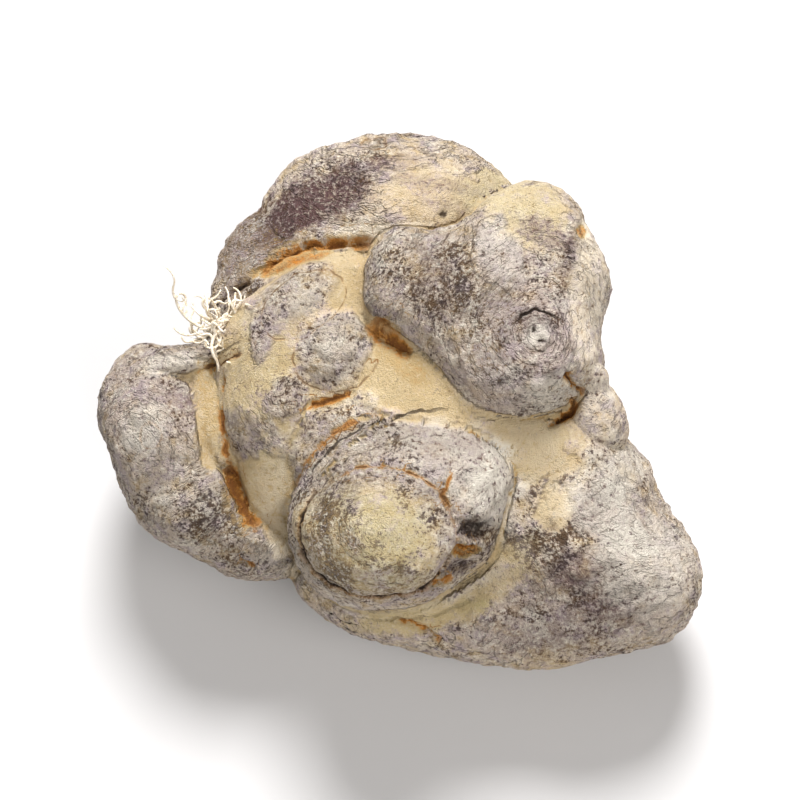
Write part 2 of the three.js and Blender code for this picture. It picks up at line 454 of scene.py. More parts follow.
RINGS = {
    "round the disc": Ring(
        (-1.7, -10.1), (6.1, 5.1), (135, 345), Crack((), width=0.26, depth=0.45, orange=0.35, dark=1)
    ),
    "over the disc's edge": Ring(
        (-1.7, -10.1), (6.0, 5.0), (5, 125), Crack((), width=0.14, depth=0.2, orange=0.7, dark=0.5)
    ),
    "first on the disc": Ring(
        (-1.4, -10.0), (4.9, 4.1), (120, 320), Crack((), width=0.07, depth=0.1, dark=0.5)
    ),
    "second on the disc": Ring(
        (-1.2, -9.9), (3.5, 2.9), (90, 330), Crack((), width=0.06, depth=0.08, dark=0.3)
    ),
    "eye of the left knob": Ring(
        (-19.3, -2.6), (2.3, 2.6), (0, 360), Crack((), width=0.1, depth=0.1, dark=0.2)
    ),
    "eye of its bud": Ring(
        (-19.4, -2.8), (0.9, 1.0), (0, 360), Crack((), width=0.1, depth=0.1, orange=0.2, dark=0.2)
    ),
    "inner scar": Ring(
        (10.5, 5.2), (0.75, 0.65), (0, 360), Crack((), width=0.07, depth=0.14, dark=0.5, lip=0.05)
    ),
    "middle scar": Ring(
        (10.6, 5.0), (1.5, 1.3), (120, 420), Crack((), width=0.07, depth=0.14, dark=0.45, lip=0.05)
    ),
    "outer scar": Ring(
        (10.6, 4.8), (2.5, 2.2), (150, 400), Crack((), width=0.07, depth=0.1, dark=0.35, lip=0.04)
    ),
    "last scar": Ring(
        (10.3, 4.6), (3.4, 3.1), (230, 350), Crack((), width=0.07, depth=0.08, dark=0.4)
    ),
    "round the first bud": Ring(
        (-7.5, 7.4), (3.6, 2.3), (0, 360),
        Crack((), width=0.07, depth=0.14, orange=0.2, dark=0.3), tilt=35,
    ),
    "round the second bud": Ring(
        (-4.9, 3.6), (3.4, 2.9), (100, 330),
        Crack((), width=0.08, depth=0.14, orange=0.2, dark=0.4), tilt=20,
    ),
}

PATCHES = {
    # The cheek and the brow.
    "heart of the first bud": Patch((-7.0, 7.6), (2.0, 1.2), 32, grey=-0.1, pale=0.35, on=("cheek_buds",)),
    "both buds": Patch((-5.4, 4.4), (4.4, 4.6), 40, rough=0.1, pale=0.25, on=("cheek_buds",)),
    "blue-grey of the brow": Patch((-10.4, 5.4), (0.9, 2.0), -14, grey=0.6, violet=0.3, on=("cheek",)),
    "whole cheek": Patch((-9.8, 0.4), (4.0, 6.4), green=0.45, stain=0.12, dark=0.1, on=("cheek",)),
    "stipple low on the cheek": Patch((-11.2, -3.2), (2.8, 1.9), -28, grey=0.55, on=("cheek",)),
    "stipple beside the collar": Patch((-8.8, 0.3), (1.3, 2.2), -35, grey=0.55, on=("cheek",)),
    "top of the brow": Patch((-6.6, 10.3), (4.8, 0.9), 14, grey=-0.5, pale=0.1, on=("cheek", "bulk")),
    "right end of the brow": Patch((-4.0, 7.8), (2.2, 2.8), 20, grey=-0.5, dark=0.2, on=("bulk", "cheek")),
    "ochre ledge": Patch(
        (-8.0, 10.9), (3.9, 0.75), 20, grey=-1, orange=0.7, on=("cheek", "bulk", "back_tier")
    ),
    # The smooth valleys between the lobes.
    "peach under the cheek": Patch(
        (-10.6, -7.0), (1.9, 3.2), 16, grey=-0.5, orange=0.14, on=("cheek", "bulk")
    ),
    "glow by the left fold": Patch((-12.2, -8.0), (0.9, 2.6), 18, grey=-0.6, orange=0.35),
    "strip beside the left knob": Patch((-15.0, -1.0), (0.8, 4.2), 4, grey=-1.3, pale=0.15, orange=0.3),
    # Cream skin in the valley, made paler as painted light where the valley lies in shade.
    "cream valley left of the disc, with painted light": Patch(
        (-9.5, -8.4), (1.8, 5.0), 12, grey=-1, pale=0.25, on=("bulk", "cheek", "left_side")
    ),
    "glow in the valley": Patch((-0.6, 6.0), (1.6, 3.4), 40, grey=-0.4, orange=0.3, on=("bulk", "cheek")),
    # Ochre skin by the crack, darkened as painted warm shade down in the valley.
    "ochre and painted shade of the valley": Patch(
        (0.2, 2.9), (2.2, 1.3), -35, grey=-0.4, orange=0.36, dark=0.14, on=("bulk", "cheek")
    ),
    "valley over the collars": Patch(
        (1.6, 1.4), (5.6, 2.6), -22, grey=-0.75, rough=0.3, on=("bulk", "cheek")
    ),
    "saddle": Patch((10.0, -3.6), (2.8, 2.4), -15, grey=-0.85, pale=0.2, rough=0.3, on=("bulk", "tap")),
    "saddle's right end": Patch((12.6, -5.4), (2.0, 1.4), -40, grey=-0.35, pale=0.1, rough=0.3),
    # The left knob, its ridge and its folds.
    "white of the left knob": Patch((-19.7, -2.3), (1.8, 2.1), pale=0.75, violet=0.15),
    "violet of the left knob": Patch((-19.0, 0.6), (4.0, 3.6), violet=0.35),
    "dark right of the left knob": Patch((-16.6, 0.3), (1.7, 1.5), 20, grey=0.1, stain=0.35),
    # Painted shade: the left knob's outer rim darkened, with a little stain.
    "painted shade on the left knob's rim": Patch((-23.2, -3.0), (1.4, 4.2), stain=0.15, dark=0.2),
    # The pale top of the ridge, made paler still as painted light.
    "rubbed ridge": Patch((-17.6, 2.8), (3.0, 0.9), 12, grey=-0.2, pale=0.7),
    # Painted shade: the lower left flank darkened, where it faces away from the lights.
    "painted shade on the left flank": Patch((-18.4, -5.6), (5.2, 5.6), -20, dark=0.1, on=("left_side",)),
    "low on the left knob": Patch((-17.4, -6.0), (3.0, 2.6), -20, grey=0.1, pale=0.1),
    # Painted shade: the heel greyer and darkened.
    "painted shade on the heel": Patch((-14.8, -8.0), (2.2, 1.6), 30, grey=0.2, dark=0.25),
    # The left fold's speckled grey skin, a little darkened as painted shade.
    "left fold": Patch((-13.1, -9.6), (4.5, 3.3), -35, grey=0.1, dark=0.05, rough=0.5, on=("left_side",)),
    # Painted shade: the foot of the left fold darkened, with some stain.
    "painted shade at the foot of the left fold": Patch((-12.8, -10.3), (2.4, 1.7), -30, grey=0.2, stain=0.2, dark=0.25),
    # Painted light: the end of the left fold made paler where it lies in shade.
    "painted light at the end of the left fold": Patch((-8.4, -12.6), (2.8, 1.6), -20, grey=0.3, pale=0.3),
    # The broad lobe behind the face.
    "dim back tier": Patch(
        (-10.6, 11.6), (5.2, 4.4), 40, stain=0.15, violet=0.2, orange=0.16, dark=0.15, on=("back_tier",)
    ),
    "shade on the back tier": Patch((-11.4, 12.4), (3.6, 2.6), 40, grey=0.2, stain=0.3, dark=0.06),
    "stain on the back lobe": Patch(
        (-5.9, 16.0), (5.1, 2.0), 24, grey=0.2, stain=1.1, pale=-0.3, dark=0.12
    ),
    "stain's tail": Patch((-9.0, 13.7), (2.6, 1.3), 40, grey=0.3, stain=0.6),
    "tan of the back lobe": Patch(
        (3.8, 15.6), (6.4, 2.8), -14,
        grey=-0.35, pale=0.12, dark=0.06, rough=0.2, violet=0.1, on=("back_lobe",),
    ),
    "pink streaks": Patch((2.0, 16.8), (4.5, 0.6), -8, stain=0.45, violet=0.2),
    "more pink streaks": Patch((4.6, 14.8), (3.0, 0.5), -16, stain=0.35, dark=0.1),
    "pink top of the back lobe": Patch((-0.6, 18.3), (3.0, 0.8), 4, stain=0.35),
    # Painted light: the foot of the back lobe made paler where the cap and the brow shade it.
    "painted light at the foot of the back lobe": Patch((-1.2, 12.9), (3.8, 1.0), grey=-0.3, pale=0.65, on=("back_lobe",)),
    "hole behind the cap": Patch((3.3, 14.5), (0.45, 0.3), 10, orange=0.3, dark=0.9, depth=0.3),
    # The cap.
    "left end of the cap": Patch((-0.8, 8.4), (2.4, 3.2), stain=0.1, dark=0.04, rough=0.5, on=("cap",)),
    "pebbled left of the cap": Patch((3.2, 9.2), (2.5, 3.2), 10, grey=0.2, stain=0.4, dark=0.1, rough=0.9),
    "pebbled middle of the cap": Patch(
        (7.0, 6.8), (3.3, 2.6), -50, green=0.3, orange=0.1, dark=0.28, rough=0.7
    ),
    "dim low middle of the cap": Patch((6.5, 3.2), (2.9, 2.0), -45, orange=0.12, dark=0.24, rough=0.3),
    "violet right of the cap": Patch((10.4, 5.0), (4.4, 4.0), violet=0.5, on=("cap",)),
    "violet low on the cap": Patch((7.2, 0.8), (4.4, 2.2), -40, violet=0.4, pale=0.15, on=("cap",)),
    # Painted light: the cap's lower end made paler where it lies in shade.
    "painted light at the cap's lower end": Patch((11.5, 0.4), (2.4, 1.6), 20, pale=0.7, on=("cap",)),
    "plate on the cap": Patch(
        (7.6, 11.4), (1.8, 3.0), 24, grey=0.3, violet=0.6, pale=0.4, rough=-0.4, depth=-0.3
    ),
    "eye of the scar": Patch((10.5, 5.2), (1.1, 1.0), pale=0.8, violet=0.2, rough=-0.3, depth=-0.15),
    "shade in the scar": Patch((10.4, 5.9), (2.0, 0.7), stain=0.5, dark=0.15, rough=0.4),
    "dark dot in the scar": Patch((10.2, 5.5), (0.3, 0.22), 30, dark=1, depth=0.2),
    "other dot in the scar": Patch((10.8, 4.6), (0.32, 0.2), -30, dark=1, depth=0.2),
    # The corner beside it, and the two buds under them.
    "corner": Patch((9.4, 14.6), (4.6, 3.4), -30, grey=-0.55, green=0.65, pale=0.12, rough=0.4),
    "pink on the corner": Patch((11.0, 12.9), (2.8, 1.0), -25, grey=0.15, stain=0.65, violet=0.4),
    "pink low on the corner": Patch((9.2, 11.2), (2.2, 0.6), -25, stain=0.35, violet=0.3),
    # A pale rim, made paler still as painted light on the steep right wall.
    "pale rim of the corner, with painted light": Patch((14.6, 8.4), (1.4, 6.2), -4, grey=-0.4, pale=0.5, violet=0.1),
    "streaks down the corner": Patch((12.8, 10.4), (0.5, 3.6), -12, stain=0.45, rough=0.4),
    "orange dot on the corner": Patch((14.0, 13.0), (0.4, 0.45), orange=0.65, depth=0.15),
    "pale right bud": Patch(
        (14.6, -0.6), (2.2, 2.6), pale=0.25, violet=0.15, rough=-0.2, on=("right_buds",)
    ),
    # The collars, the knob and its disc.
    "outer collar": Patch((-7.0, -3.4), (3.2, 3.5), 25, dark=0.14, rough=0.6, on=("collar_outer",)),
    "top of the knob": Patch((1.6, -2.7), (6.2, 1.4), -8, grey=0.25, dark=0.16),
    "violet top of the knob": Patch((4.2, -4.8), (5.0, 3.0), -20, violet=0.5, pale=0.35, rough=-0.35),
    "right of the knob": Patch((7.2, -6.8), (2.0, 3.6), grey=0.1, pale=0.65),
    "left of the disc": Patch(
        (-5.4, -10.6), (2.2, 4.0), 15, grey=0.1, green=0.7, orange=0.2, dark=0.18, rough=0.9
    ),
    "upper left of the disc": Patch(
        (-5.0, -7.5), (2.3, 2.2), 30, green=0.3, stain=0.15, dark=0.38, rough=0.8
    ),
    "foot of the disc": Patch(
        (-1.6, -13.8), (4.7, 1.6), grey=0.1, green=0.6, orange=0.16, dark=0.12, rough=0.9
    ),
    "middle of the disc": Patch((-0.4, -10.0), (3.8, 3.4), grey=-0.1, green=0.5, dark=0.1, rough=0.6),
    "dark pit beside the disc": Patch(
        (6.1, -10.1), (1.3, 0.9), -20, stain=0.9, dark=0.65, rough=1, depth=0.7
    ),
    "orange hole beside the disc": Patch((5.2, -11.7), (1.1, 0.45), 8, orange=0.9, dark=0.25, depth=0.5),
    "dark below it": Patch((4.7, -12.9), (1.2, 0.5), 14, stain=0.8, dark=0.5, rough=1, depth=0.4),
    # The belly.
    "belly beside the knob": Patch(
        (7.6, -13.6), (3.6, 2.0), 38, grey=-0.4, green=0.25, dark=0.15, rough=0.6
    ),
    "olive fold of the belly": Patch((1.6, -16.9), (6.0, 1.3), 8, grey=-0.45, green=0.35, rough=0.3),
    "rough belly": Patch((11.0, -20.6), (2.6, 1.0), grey=-0.2, depth=-0.2),
    # The main root.
    "peppered band beside the knob": Patch((9.6, -8.8), (2.8, 5.6), 14, grey=-0.15, green=0.1, rough=0.8),
    "cream beside the saddle": Patch((12.0, -8.4), (1.6, 1.8), -30, grey=-0.7, pale=0.15),
    "violet of the main root": Patch((15.8, -8.9), (3.8, 2.2), -38, grey=0.05, violet=0.5, pale=0.5),
    # Painted light: the main root's crest made paler.
    "painted light on the main root's crest": Patch((17.0, -5.8), (1.8, 2.4), -40, pale=0.6),
    "streak over the main root": Patch((14.2, -8.6), (0.7, 3.0), -48, stain=0.3, rough=0.3),
    "stain on the main root": Patch(
        (15.2, -14.4), (4.8, 2.2), -24, grey=0.3, stain=0.6, dark=0.12, rough=0.3
    ),
    "upper end of that stain": Patch((11.8, -10.9), (2.6, 1.2), -40, stain=0.2, dark=0.06, rough=0.6),
    "dark pepper beside the stain": Patch((11.0, -11.4), (2.4, 2.0), -30, dark=0.05, rough=0.8),
    "second stain on the main root": Patch((11.6, -14.6), (3.2, 1.1), 30, stain=0.2, dark=0.06),
    "violet front of the main root": Patch((10.0, -17.4), (6.0, 2.2), 8, grey=0.2, violet=0.35),
    "dim underside of the main root": Patch((14.0, -17.6), (6.4, 2.0), 24, stain=0.3, dark=0.05),
    # Pale skin at the main root's end, which also stands in for the highlight there.
    "pale end of the main root, with a painted highlight": Patch((19.1, -12.9), (3.9, 4.0), pale=0.62, rough=-0.3, violet=0.35),
}

# Scars of lost buds and rootlets on the sides and the back: where they are, and how wide.
SCARS = {
    "behind the back lobe": ((-3.4, 20.9, -4.6), 2.6),
    "high on the back lobe": ((-1.6, 20.6, -0.4), 1.1),
    "side of the back lobe": ((-9.6, 16.2, -4.6), 1.8),
    "rear knob": ((7.6, 17.0, -10.4), 2.3),
    "second rear knob": ((-10.2, 13.6, -12.4), 1.6),
    "end of the left knob": ((-23.8, -1.6, -4.6), 2.4),
    "low on the left heel": ((-20.2, -9.6, -6.2), 1.7),
    "right flank": ((16.2, 6.4, -1.6), 2.0),
    "flank bud": ((16.0, 4.8, -7.6), 1.5),
    "under the main root": ((16.6, -17.6, -7.4), 1.8),
    "front of the belly": ((-0.4, -19.6, -6.4), 2.0),
    "end of the main root": ((23.6, -16.4, -4.6), 1.5),
}
# The rings of a scar: how far out they are, as a share of its width, and what they look like.
SCAR_RINGS = (
    (0.34, Crack((), width=0.08, depth=0.2, orange=0.1, dark=0.35)),
    (0.62, Crack((), width=0.07, depth=0.14, dark=0.3)),
    (0.92, Crack((), width=0.1, depth=0.24, orange=0.2, dark=0.3, lip=0.1)),
)

# How far the deep grooves between two regions are orange and dark inside. The dark is their
# dark brown and also painted shade, laid where the skin stands least open.
SEAM_ORANGE = 0.75
SEAM_DARK_AND_SHADE = 0.55


# ----------------------------------------------------------------------------------------------
# Sizes and colours that a user would change
# ----------------------------------------------------------------------------------------------


def colour(name, description, default):
    """A colour property, picked as it shows on a screen."""
    return FloatVectorProperty(
        name=name, description=description, default=default, size=3, min=0, max=1,
        subtype="COLOR_GAMMA",
    )


class RootSizes(bpy.types.PropertyGroup):
    """The root's own sizes, in millimetres."""

    lean: FloatProperty(
        name="Lean", description="How far the knobbly face leans back at rest",
        default=math.radians(18), subtype="ANGLE",
    )
    rest_depth: FloatProperty(
        name="Rest depth", description="From the face frame's origin down to the resting plane",
        default=15.6, min=1,
    )
    grid: FloatProperty(
        name="Mesh size", description="Width of one face of the skin's mesh", default=0.272, min=0.1
    )
    dents: FloatProperty(
        name="Dents", description="Height of the broad dents left by drying", default=0.3, min=0
    )
    warts: FloatProperty(
        name="Warts", description="Height of the fine warts on the grey skin", default=0.2, min=0
    )
    wrinkles: FloatProperty(
        name="Wrinkles", description="Height of the wrinkles round each lobe", default=0.14, min=0
    )
    fibres: IntProperty(
        name="Fibres", description="Number of fibres in the rootlet tuft", default=84, min=1
    )
    fibre_width: FloatProperty(
        name="Fibre width", description="Thickness of a fibre at its foot", default=0.38, min=0.02
    )


class RootColours(bpy.types.PropertyGroup):
    """The colours of the skin and of what it lies on."""

    cream: colour("Cream", "Smooth skin in the hollows", (0.80, 0.70, 0.53))
    pale_cream: colour("Pale cream", "The bloom on the smooth skin", (0.86, 0.79, 0.65))
    grey: colour("Grey", "Weathered skin on what stands proud", (0.85, 0.785, 0.725))
    grey_dark: colour("Dark grey", "The darker blotches of the weathered skin", (0.57, 0.50, 0.46))
    green: colour("Green", "Yellowish green skin, as on the end disc", (0.80, 0.74, 0.53))
    violet: colour("Violet", "The violet cast on the grey skin", (0.78, 0.71, 0.74))
    ochre: colour("Ochre", "The ochre cast on the grey skin", (0.78, 0.67, 0.48))
    stain: colour("Stain", "Purple-brown stains", (0.43, 0.32, 0.32))
    orange: colour("Orange", "The inside of the cracks", (0.82, 0.54, 0.20))
    burnt: colour("Burnt orange", "The darker parts of the cracks' insides", (0.56, 0.32, 0.11))
    # Dark also lays painted shade, and chalk painted light, as well as the skin's own colours.
    dark: colour("Dark", "The bottom of the deepest pits", (0.17, 0.11, 0.07))
    chalk: colour("Chalk", "Pale, chalky rubbed skin", (0.96, 0.93, 0.88))
    fleck: colour("Fleck", "The dark peppery flecks", (0.31, 0.25, 0.24))
    brown_fleck: colour("Brown fleck", "The warmer flecks", (0.38, 0.28, 0.19))
    floor: colour("Floor", "What the root lies on", (0.80, 0.80, 0.81))


def sizes():
    """The sizes in use."""
    return bpy.context.scene.root_sizes


def colours():
    """The colours in use."""
    return bpy.context.scene.root_colours


def linear(screen_colour):
    """A screen colour as the shader's linear red, green, blue and alpha."""
    return (*Color(screen_colour).from_srgb_to_scene_linear(), 1.0)


# ----------------------------------------------------------------------------------------------
# The root as a field: how far each point is from the grown skin
# ----------------------------------------------------------------------------------------------

# As it dried the root warped a little, in slow waves: how far, and waves per millimetre.
DRYING_WAVES = ((0.35, 0.42), (0.18, 0.85))
# How wide the grooves between the regions are.
SEAM_WIDTH = 0.26
# How finely a lobe's ball is divided before the lobes are grown together.
BALL_DETAIL = 5
# Further off than anything that is looked for.
FAR = 1e9
# Keeps a division by a length from failing where the length is nothing.
TINY = 1e-9


def smoothstep(low, high, values):
    """0 below low, 1 above high, and a smooth rise between them."""
    share = np.clip((values - low) / (high - low), 0, 1)
    return share * share * (3 - 2 * share)


def lobe_turn(lobe):
    """How a lobe is turned, as a rotation matrix."""
    spin = Matrix.Rotation(math.radians(lobe.spin), 3, "Z")
    return spin @ Matrix.Rotation(math.radians(-lobe.lift), 3, "Y")


def lobe_distance(points, lobe):
    """About how far points are outside a lobe, from its implicit form and that form's slope."""
    local = (points - np.array(lobe.centre)) @ np.array(lobe_turn(lobe))
    share = np.abs(local) / np.array(lobe.radii)
    if lobe.squareness == 2:
        level = np.sqrt((share * share).sum(1))
        slope = np.sqrt(((share / lobe.radii) ** 2).sum(1)) / np.maximum(level, TINY)
    else:
        power = lobe.squareness
        level = (share**power).sum(1) ** (1 / power)
        rise = share ** (power - 1) / lobe.radii
        slope = np.sqrt((rise * rise).sum(1)) / np.maximum(level, TINY) ** (power - 1)
    return (level - 1) / np.maximum(slope, TINY)


def grown_together(first, second, softness):
    """The smaller of two distances, rounded over where they are alike."""
    share = np.clip(0.5 + 0.5 * (first - second) / softness, 0, 1)
    return first * (1 - share) + second * share - softness * share * (1 - share)


def region_distance(points, region):
    """How far points are from one region's own lobes."""
    distance = None
    for lobe in region.lobes.values():
        own = lobe_distance(points, lobe)
        distance = own if distance is None else grown_together(distance, own, region.blend)
    return distance


def skin_distance(points):
    """How far points are from the whole root's skin, with the grooves between its regions."""
    skin = None
    for region in REGIONS.values():
        own = region_distance(points, region)
        if skin is None:
            skin = own
            continue
        groove = region.groove * np.exp(-(own * own + skin * skin) / SEAM_WIDTH**2)
        skin = grown_together(skin, own, region.join) + groove
    return skin


def skin_normal(points, step=0.08):
    """The outward direction of the skin at points near it."""
    slope = np.empty_like(points)
    for axis in range(3):
        shift = np.zeros(3)
        shift[axis] = step
        slope[:, axis] = skin_distance(points + shift) - skin_distance(points - shift)
    return slope / np.maximum(np.linalg.norm(slope, axis=1, keepdims=True), TINY)


def drawn_to_skin(points, rounds):
    """Points moved onto the skin."""
    for _ in range(rounds):
        points = points - skin_distance(points)[:, None] * skin_normal(points)
    return points


def dried(points):
    """Points of the fresh form moved by the drying waves."""
    u, v, w = points.T
    moved = points.copy()
    for reach, rate in DRYING_WAVES:
        moved[:, 0] += reach * np.sin(rate * (v + 7))
        moved[:, 1] += reach * np.sin(rate * (w + 11))
        moved[:, 2] += reach * np.sin(rate * (u + 3))
    return moved


def leaned(points):
    """Points of the face frame after the root has leaned back."""
    cosine = math.cos(sizes().lean)
    sine = math.sin(sizes().lean)
    return points @ np.array([[1, 0, 0], [0, cosine, sine], [0, -sine, cosine]])


def lobe_ball(form, lobe):
    """A lobe's ball in a bmesh, squared off and put in place."""
    ball = bmesh.ops.create_icosphere(form, subdivisions=BALL_DETAIL, radius=1)["verts"]
    if lobe.squareness != 2:
        for vert in ball:
            total = sum(abs(part) ** lobe.squareness for part in vert.co)
            vert.co /= total ** (1 / lobe.squareness)
    stretch = Matrix.Diagonal((*lobe.radii, 1))
    place = Matrix.Translation(lobe.centre) @ lobe_turn(lobe).to_4x4() @ stretch
    bmesh.ops.transform(form, matrix=place, verts=ball)


def all_lobes():
    """A bmesh with every lobe's ball, in the fresh form's millimetres."""
    form = bmesh.new()
    for region in REGIONS.values():
        for lobe in region.lobes.values():
            lobe_ball(form, lobe)
    return form


def resting_offset():
    """How far the leaned root moves so that it stands on the frame's floor, with the middle of
    its box over the middle of the frame's."""
    form = all_lobes()
    points = leaned(dried(np.array([vert.co for vert in form.verts])))
    form.free()
    standing = points[points[:, 2] > -sizes().rest_depth]
    low, high = (np.array(corner) / MM for corner in CAD_BOX)
    offset = (low + high) / 2 - (standing.min(0) + standing.max(0)) / 2
    offset[2] = low[2] + sizes().rest_depth
    return offset


def at_rest(points):
    """Points of the face frame, leaned back and stood in their place in the frame."""
    return leaned(points) + resting_offset()


# ----------------------------------------------------------------------------------------------
# The skin's mesh
# ----------------------------------------------------------------------------------------------


def mesh_points(mesh):
    """A mesh's points as an array."""
    points = np.empty(len(mesh.vertices) * 3)
    mesh.vertices.foreach_get("co", points)
    return points.reshape(-1, 3)


def set_mesh_points(mesh, points):
    """Puts an array of points back into a mesh."""
    mesh.vertices.foreach_set("co", points.ravel())
    mesh.update()


def grown_mesh():
    """All the lobes grown together into one even mesh, still in the fresh form's millimetres."""
    form = all_lobes()
    mesh = bpy.data.meshes.new("lobes")
    form.to_mesh(mesh)
    form.free()
    lobes = bpy.data.objects.new("lobes", mesh)
    bpy.context.collection.objects.link(lobes)
    remesh = lobes.modifiers.new("Even mesh", "REMESH")
    remesh.mode = "VOXEL"
    remesh.voxel_size = sizes().grid
    grown = bpy.data.meshes.new_from_object(
        lobes.evaluated_get(bpy.context.evaluated_depsgraph_get())
    )
    bpy.data.objects.remove(lobes)
    return grown


def smoothed(mesh, factor, rounds=1, chosen=None):
    """Evens out a mesh's points, or only the chosen ones."""
    form = bmesh.new()
    form.from_mesh(mesh)
    verts = form.verts
    if chosen is not None:
        verts = [vert for vert, wanted in zip(form.verts, chosen) if wanted]
    for _ in range(rounds):
        bmesh.ops.smooth_vert(
            form, verts=verts, factor=factor, use_axis_x=True, use_axis_y=True, use_axis_z=True
        )
    form.to_mesh(mesh)
    form.free()


def fractal(points, width, octaves, seed):
    """Fractal noise from about -1 to 1, whose broadest waves are about width wide. Each seed
    looks at another part of the noise."""
    fading = 0.7
    finer = 2.0
    shift = Vector((seed * 17.3, seed * 5.1, seed * 11.7))
    return np.array(
        [noise.fractal(Vector(p) / width + shift, fading, finer, octaves) for p in points]
    )


# ----------------------------------------------------------------------------------------------
# Painting the features onto the skin's points
# ----------------------------------------------------------------------------------------------

# Half the width of the narrowest groove that the mesh can hold.
FINEST_GROOVE = 0.28
# How far the lips stand from a crack's middle, in half widths.
LIP_PLACE = 1.9
# A crack is at its full width once it has run for one part in so many of its length.
TAPER = 6
# Where along a closed ring every point counts as being.
MIDWAY = 0.5
# As far from a line as the skin's paint can say, in half widths.
LINE_REACH = 9
# A patch is full up to the first of these shares of its radii, and gone at the second.
PATCH_EDGE = (0.6, 1.3)
# The size of the cells in which the topmost skin is looked for, and how far under it skin starts
# to be hidden and is wholly hidden.
VIEW_CELL = 0.5
VIEW_DEPTHS = (1.6, 3.4)
# How far a patch's edge wanders, as a share of its radii, and how far a line does.
EDGE_WANDER = 0.35
LINE_WANDER = 0.18
# How far a normal points out of the face where the skin's paint starts, and where it is full.
TURNED_AWAY = (-0.35, 0.1)
# How far a normal points out of the face on the steepest wall that a crack allows for.
STEEPEST = 0.45
# How far outwards other skin is looked for, to tell how open the skin stands, and how much each
# of those distances counts.
OPEN_REACHES = ((0.7, 0.35), (1.6, 0.35), (3.2, 0.3))
# How softly the skin of one region turns into the next one's.
REGION_SOFTNESS = 0.25
# How much steps along the grain count against steps across it.
ALONG_GRAIN = 0.5
# Where the skin stands less open than this, in grooves, its mesh is evened out again.
HOLLOW = 0.42


def line_distance(flat, points):
    """How far flat points are from a line of points, with a sign for the side that they are on,
    and where along it they are, from 0 to 1."""
    line = np.array(points, float)
    steps = np.linalg.norm(np.diff(line, axis=0), axis=1)
    length = steps.sum()
    best = np.full(len(flat), FAR)
    along = np.zeros(len(flat))
    done = 0.0
    for start, end, step in zip(line[:-1], line[1:], steps):
        way = end - start
        arm = flat - start
        share = np.clip((arm @ way) / step**2, 0, 1)
        reach = np.linalg.norm(arm - share[:, None] * way, axis=1)
        side = np.where(arm[:, 0] * way[1] > arm[:, 1] * way[0], 1, -1)
        nearer = reach < np.abs(best)
        best = np.where(nearer, side * reach, best)
        along = np.where(nearer, (done + share * step) / length, along)
        done += step
    return best, along


def ring_distance(flat, ring):
    """How far flat points are from an oval, with a sign for the side that they are on, and where
    along the part of it that runs they are."""
    radii = np.array(ring.radii)
    turned = math.radians(ring.tilt)
    axes = np.array([[math.cos(turned), -math.sin(turned)], [math.sin(turned), math.cos(turned)]])
    local = (flat - np.array(ring.centre)) @ axes / radii
    level = np.linalg.norm(local, axis=1)
    angle = np.degrees(np.arctan2(local[:, 1], local[:, 0]))
    start, end = ring.turn
    along = ((angle - start) % 360) / (end - start)
    reach = np.where(along > 1, FAR, (level - 1) * radii.mean())
    closed = end - start >= 360
    return reach, np.full(len(flat), MIDWAY) if closed else along


class Paint:
    """What the features do to each of the skin's points."""

    # Pale also holds painted light, and dark painted shade, besides the skin's own marks.
    SKIN = ("grey", "green", "stain", "pale", "rough", "violet")
    HOLES_AND_SHADE = ("orange", "dark")
    LINES = ("line_across", "line_orange", "line_dark")

    def __init__(self, count):
        for channel in (*self.SKIN, *self.HOLES_AND_SHADE, *self.LINES, "height"):
            setattr(self, channel, np.zeros(count))
        self.line_across += LINE_REACH
        self.line_claim = np.zeros(count)

    def crack(self, crack, across, along, where):
        """Adds a crack, which thins out towards its ends. The mesh takes only a groove that it is
        fine enough for; the material draws the sharp line in it from the line channels."""
        reach = np.abs(across)
        taper = np.sqrt(np.clip(np.minimum(along, 1 - along) * TAPER, 0, 1)) * where
        width = max(crack.width, FINEST_GROOVE)
        near = np.exp(-((reach / width) ** 2)) * taper
        lips = np.exp(-((reach / width - LIP_PLACE) ** 2)) * taper
        self.height += crack.lip * lips - crack.depth * min(1, crack.width / width + 0.2) * near
        self.pale += crack.pale * near
        if not (crack.orange or crack.dark):
            return
        edge = 3 * crack.width + 0.3
        claim = taper * (1 - smoothstep(edge, edge + 0.3, reach))
        rank = claim * (1 - 0.3 * reach)
        mine = rank > self.line_claim
        self.line_claim = np.where(mine, rank, self.line_claim)
        self.line_across = np.where(mine, across / crack.width, self.line_across)
        self.line_orange = np.where(mine, crack.orange * claim, self.line_orange)
        self.line_dark = np.where(mine, crack.dark * claim, self.line_dark)

    def patch(self, patch, flat, wander, where):
        """Adds an oval patch with a ragged edge, on its own regions if it names any."""
        turn = math.radians(patch.turn)
        across = np.array([math.cos(turn), math.sin(turn)])
        up = np.array([-math.sin(turn), math.cos(turn)])
        local = flat - np.array(patch.centre)
        level = np.hypot(local @ across / patch.radii[0], local @ up / patch.radii[1])
        amount = (1 - smoothstep(*PATCH_EDGE, level + wander)) * where
        for channel in self.SKIN:
            getattr(self, channel)[:] += getattr(patch, channel) * amount
        for channel in self.HOLES_AND_SHADE:
            mine = getattr(self, channel)
            mine[:] = np.maximum(mine, getattr(patch, channel) * amount)
        self.height -= patch.depth * amount


def topmost(points):
    """1 where a point can be seen from in front of the face, and 0 where other skin hides it."""
    where = np.floor(points[:, :2] / VIEW_CELL).astype(int)
    where -= where.min(0)
    heights = np.full(where.max(0) + 1, -FAR)
    np.maximum.at(heights, (where[:, 0], where[:, 1]), points[:, 2])
    return 1 - smoothstep(*VIEW_DEPTHS, heights[where[:, 0], where[:, 1]] - points[:, 2])


def openness(points, normals):
    """How open the skin stands: 1 on what is proud, and less in hollows and grooves."""
    total = np.zeros(len(points))
    for reach, share in OPEN_REACHES:
        clear = np.clip(skin_distance(points + reach * normals) / reach, 0, 1)
        total += share * clear
    return total


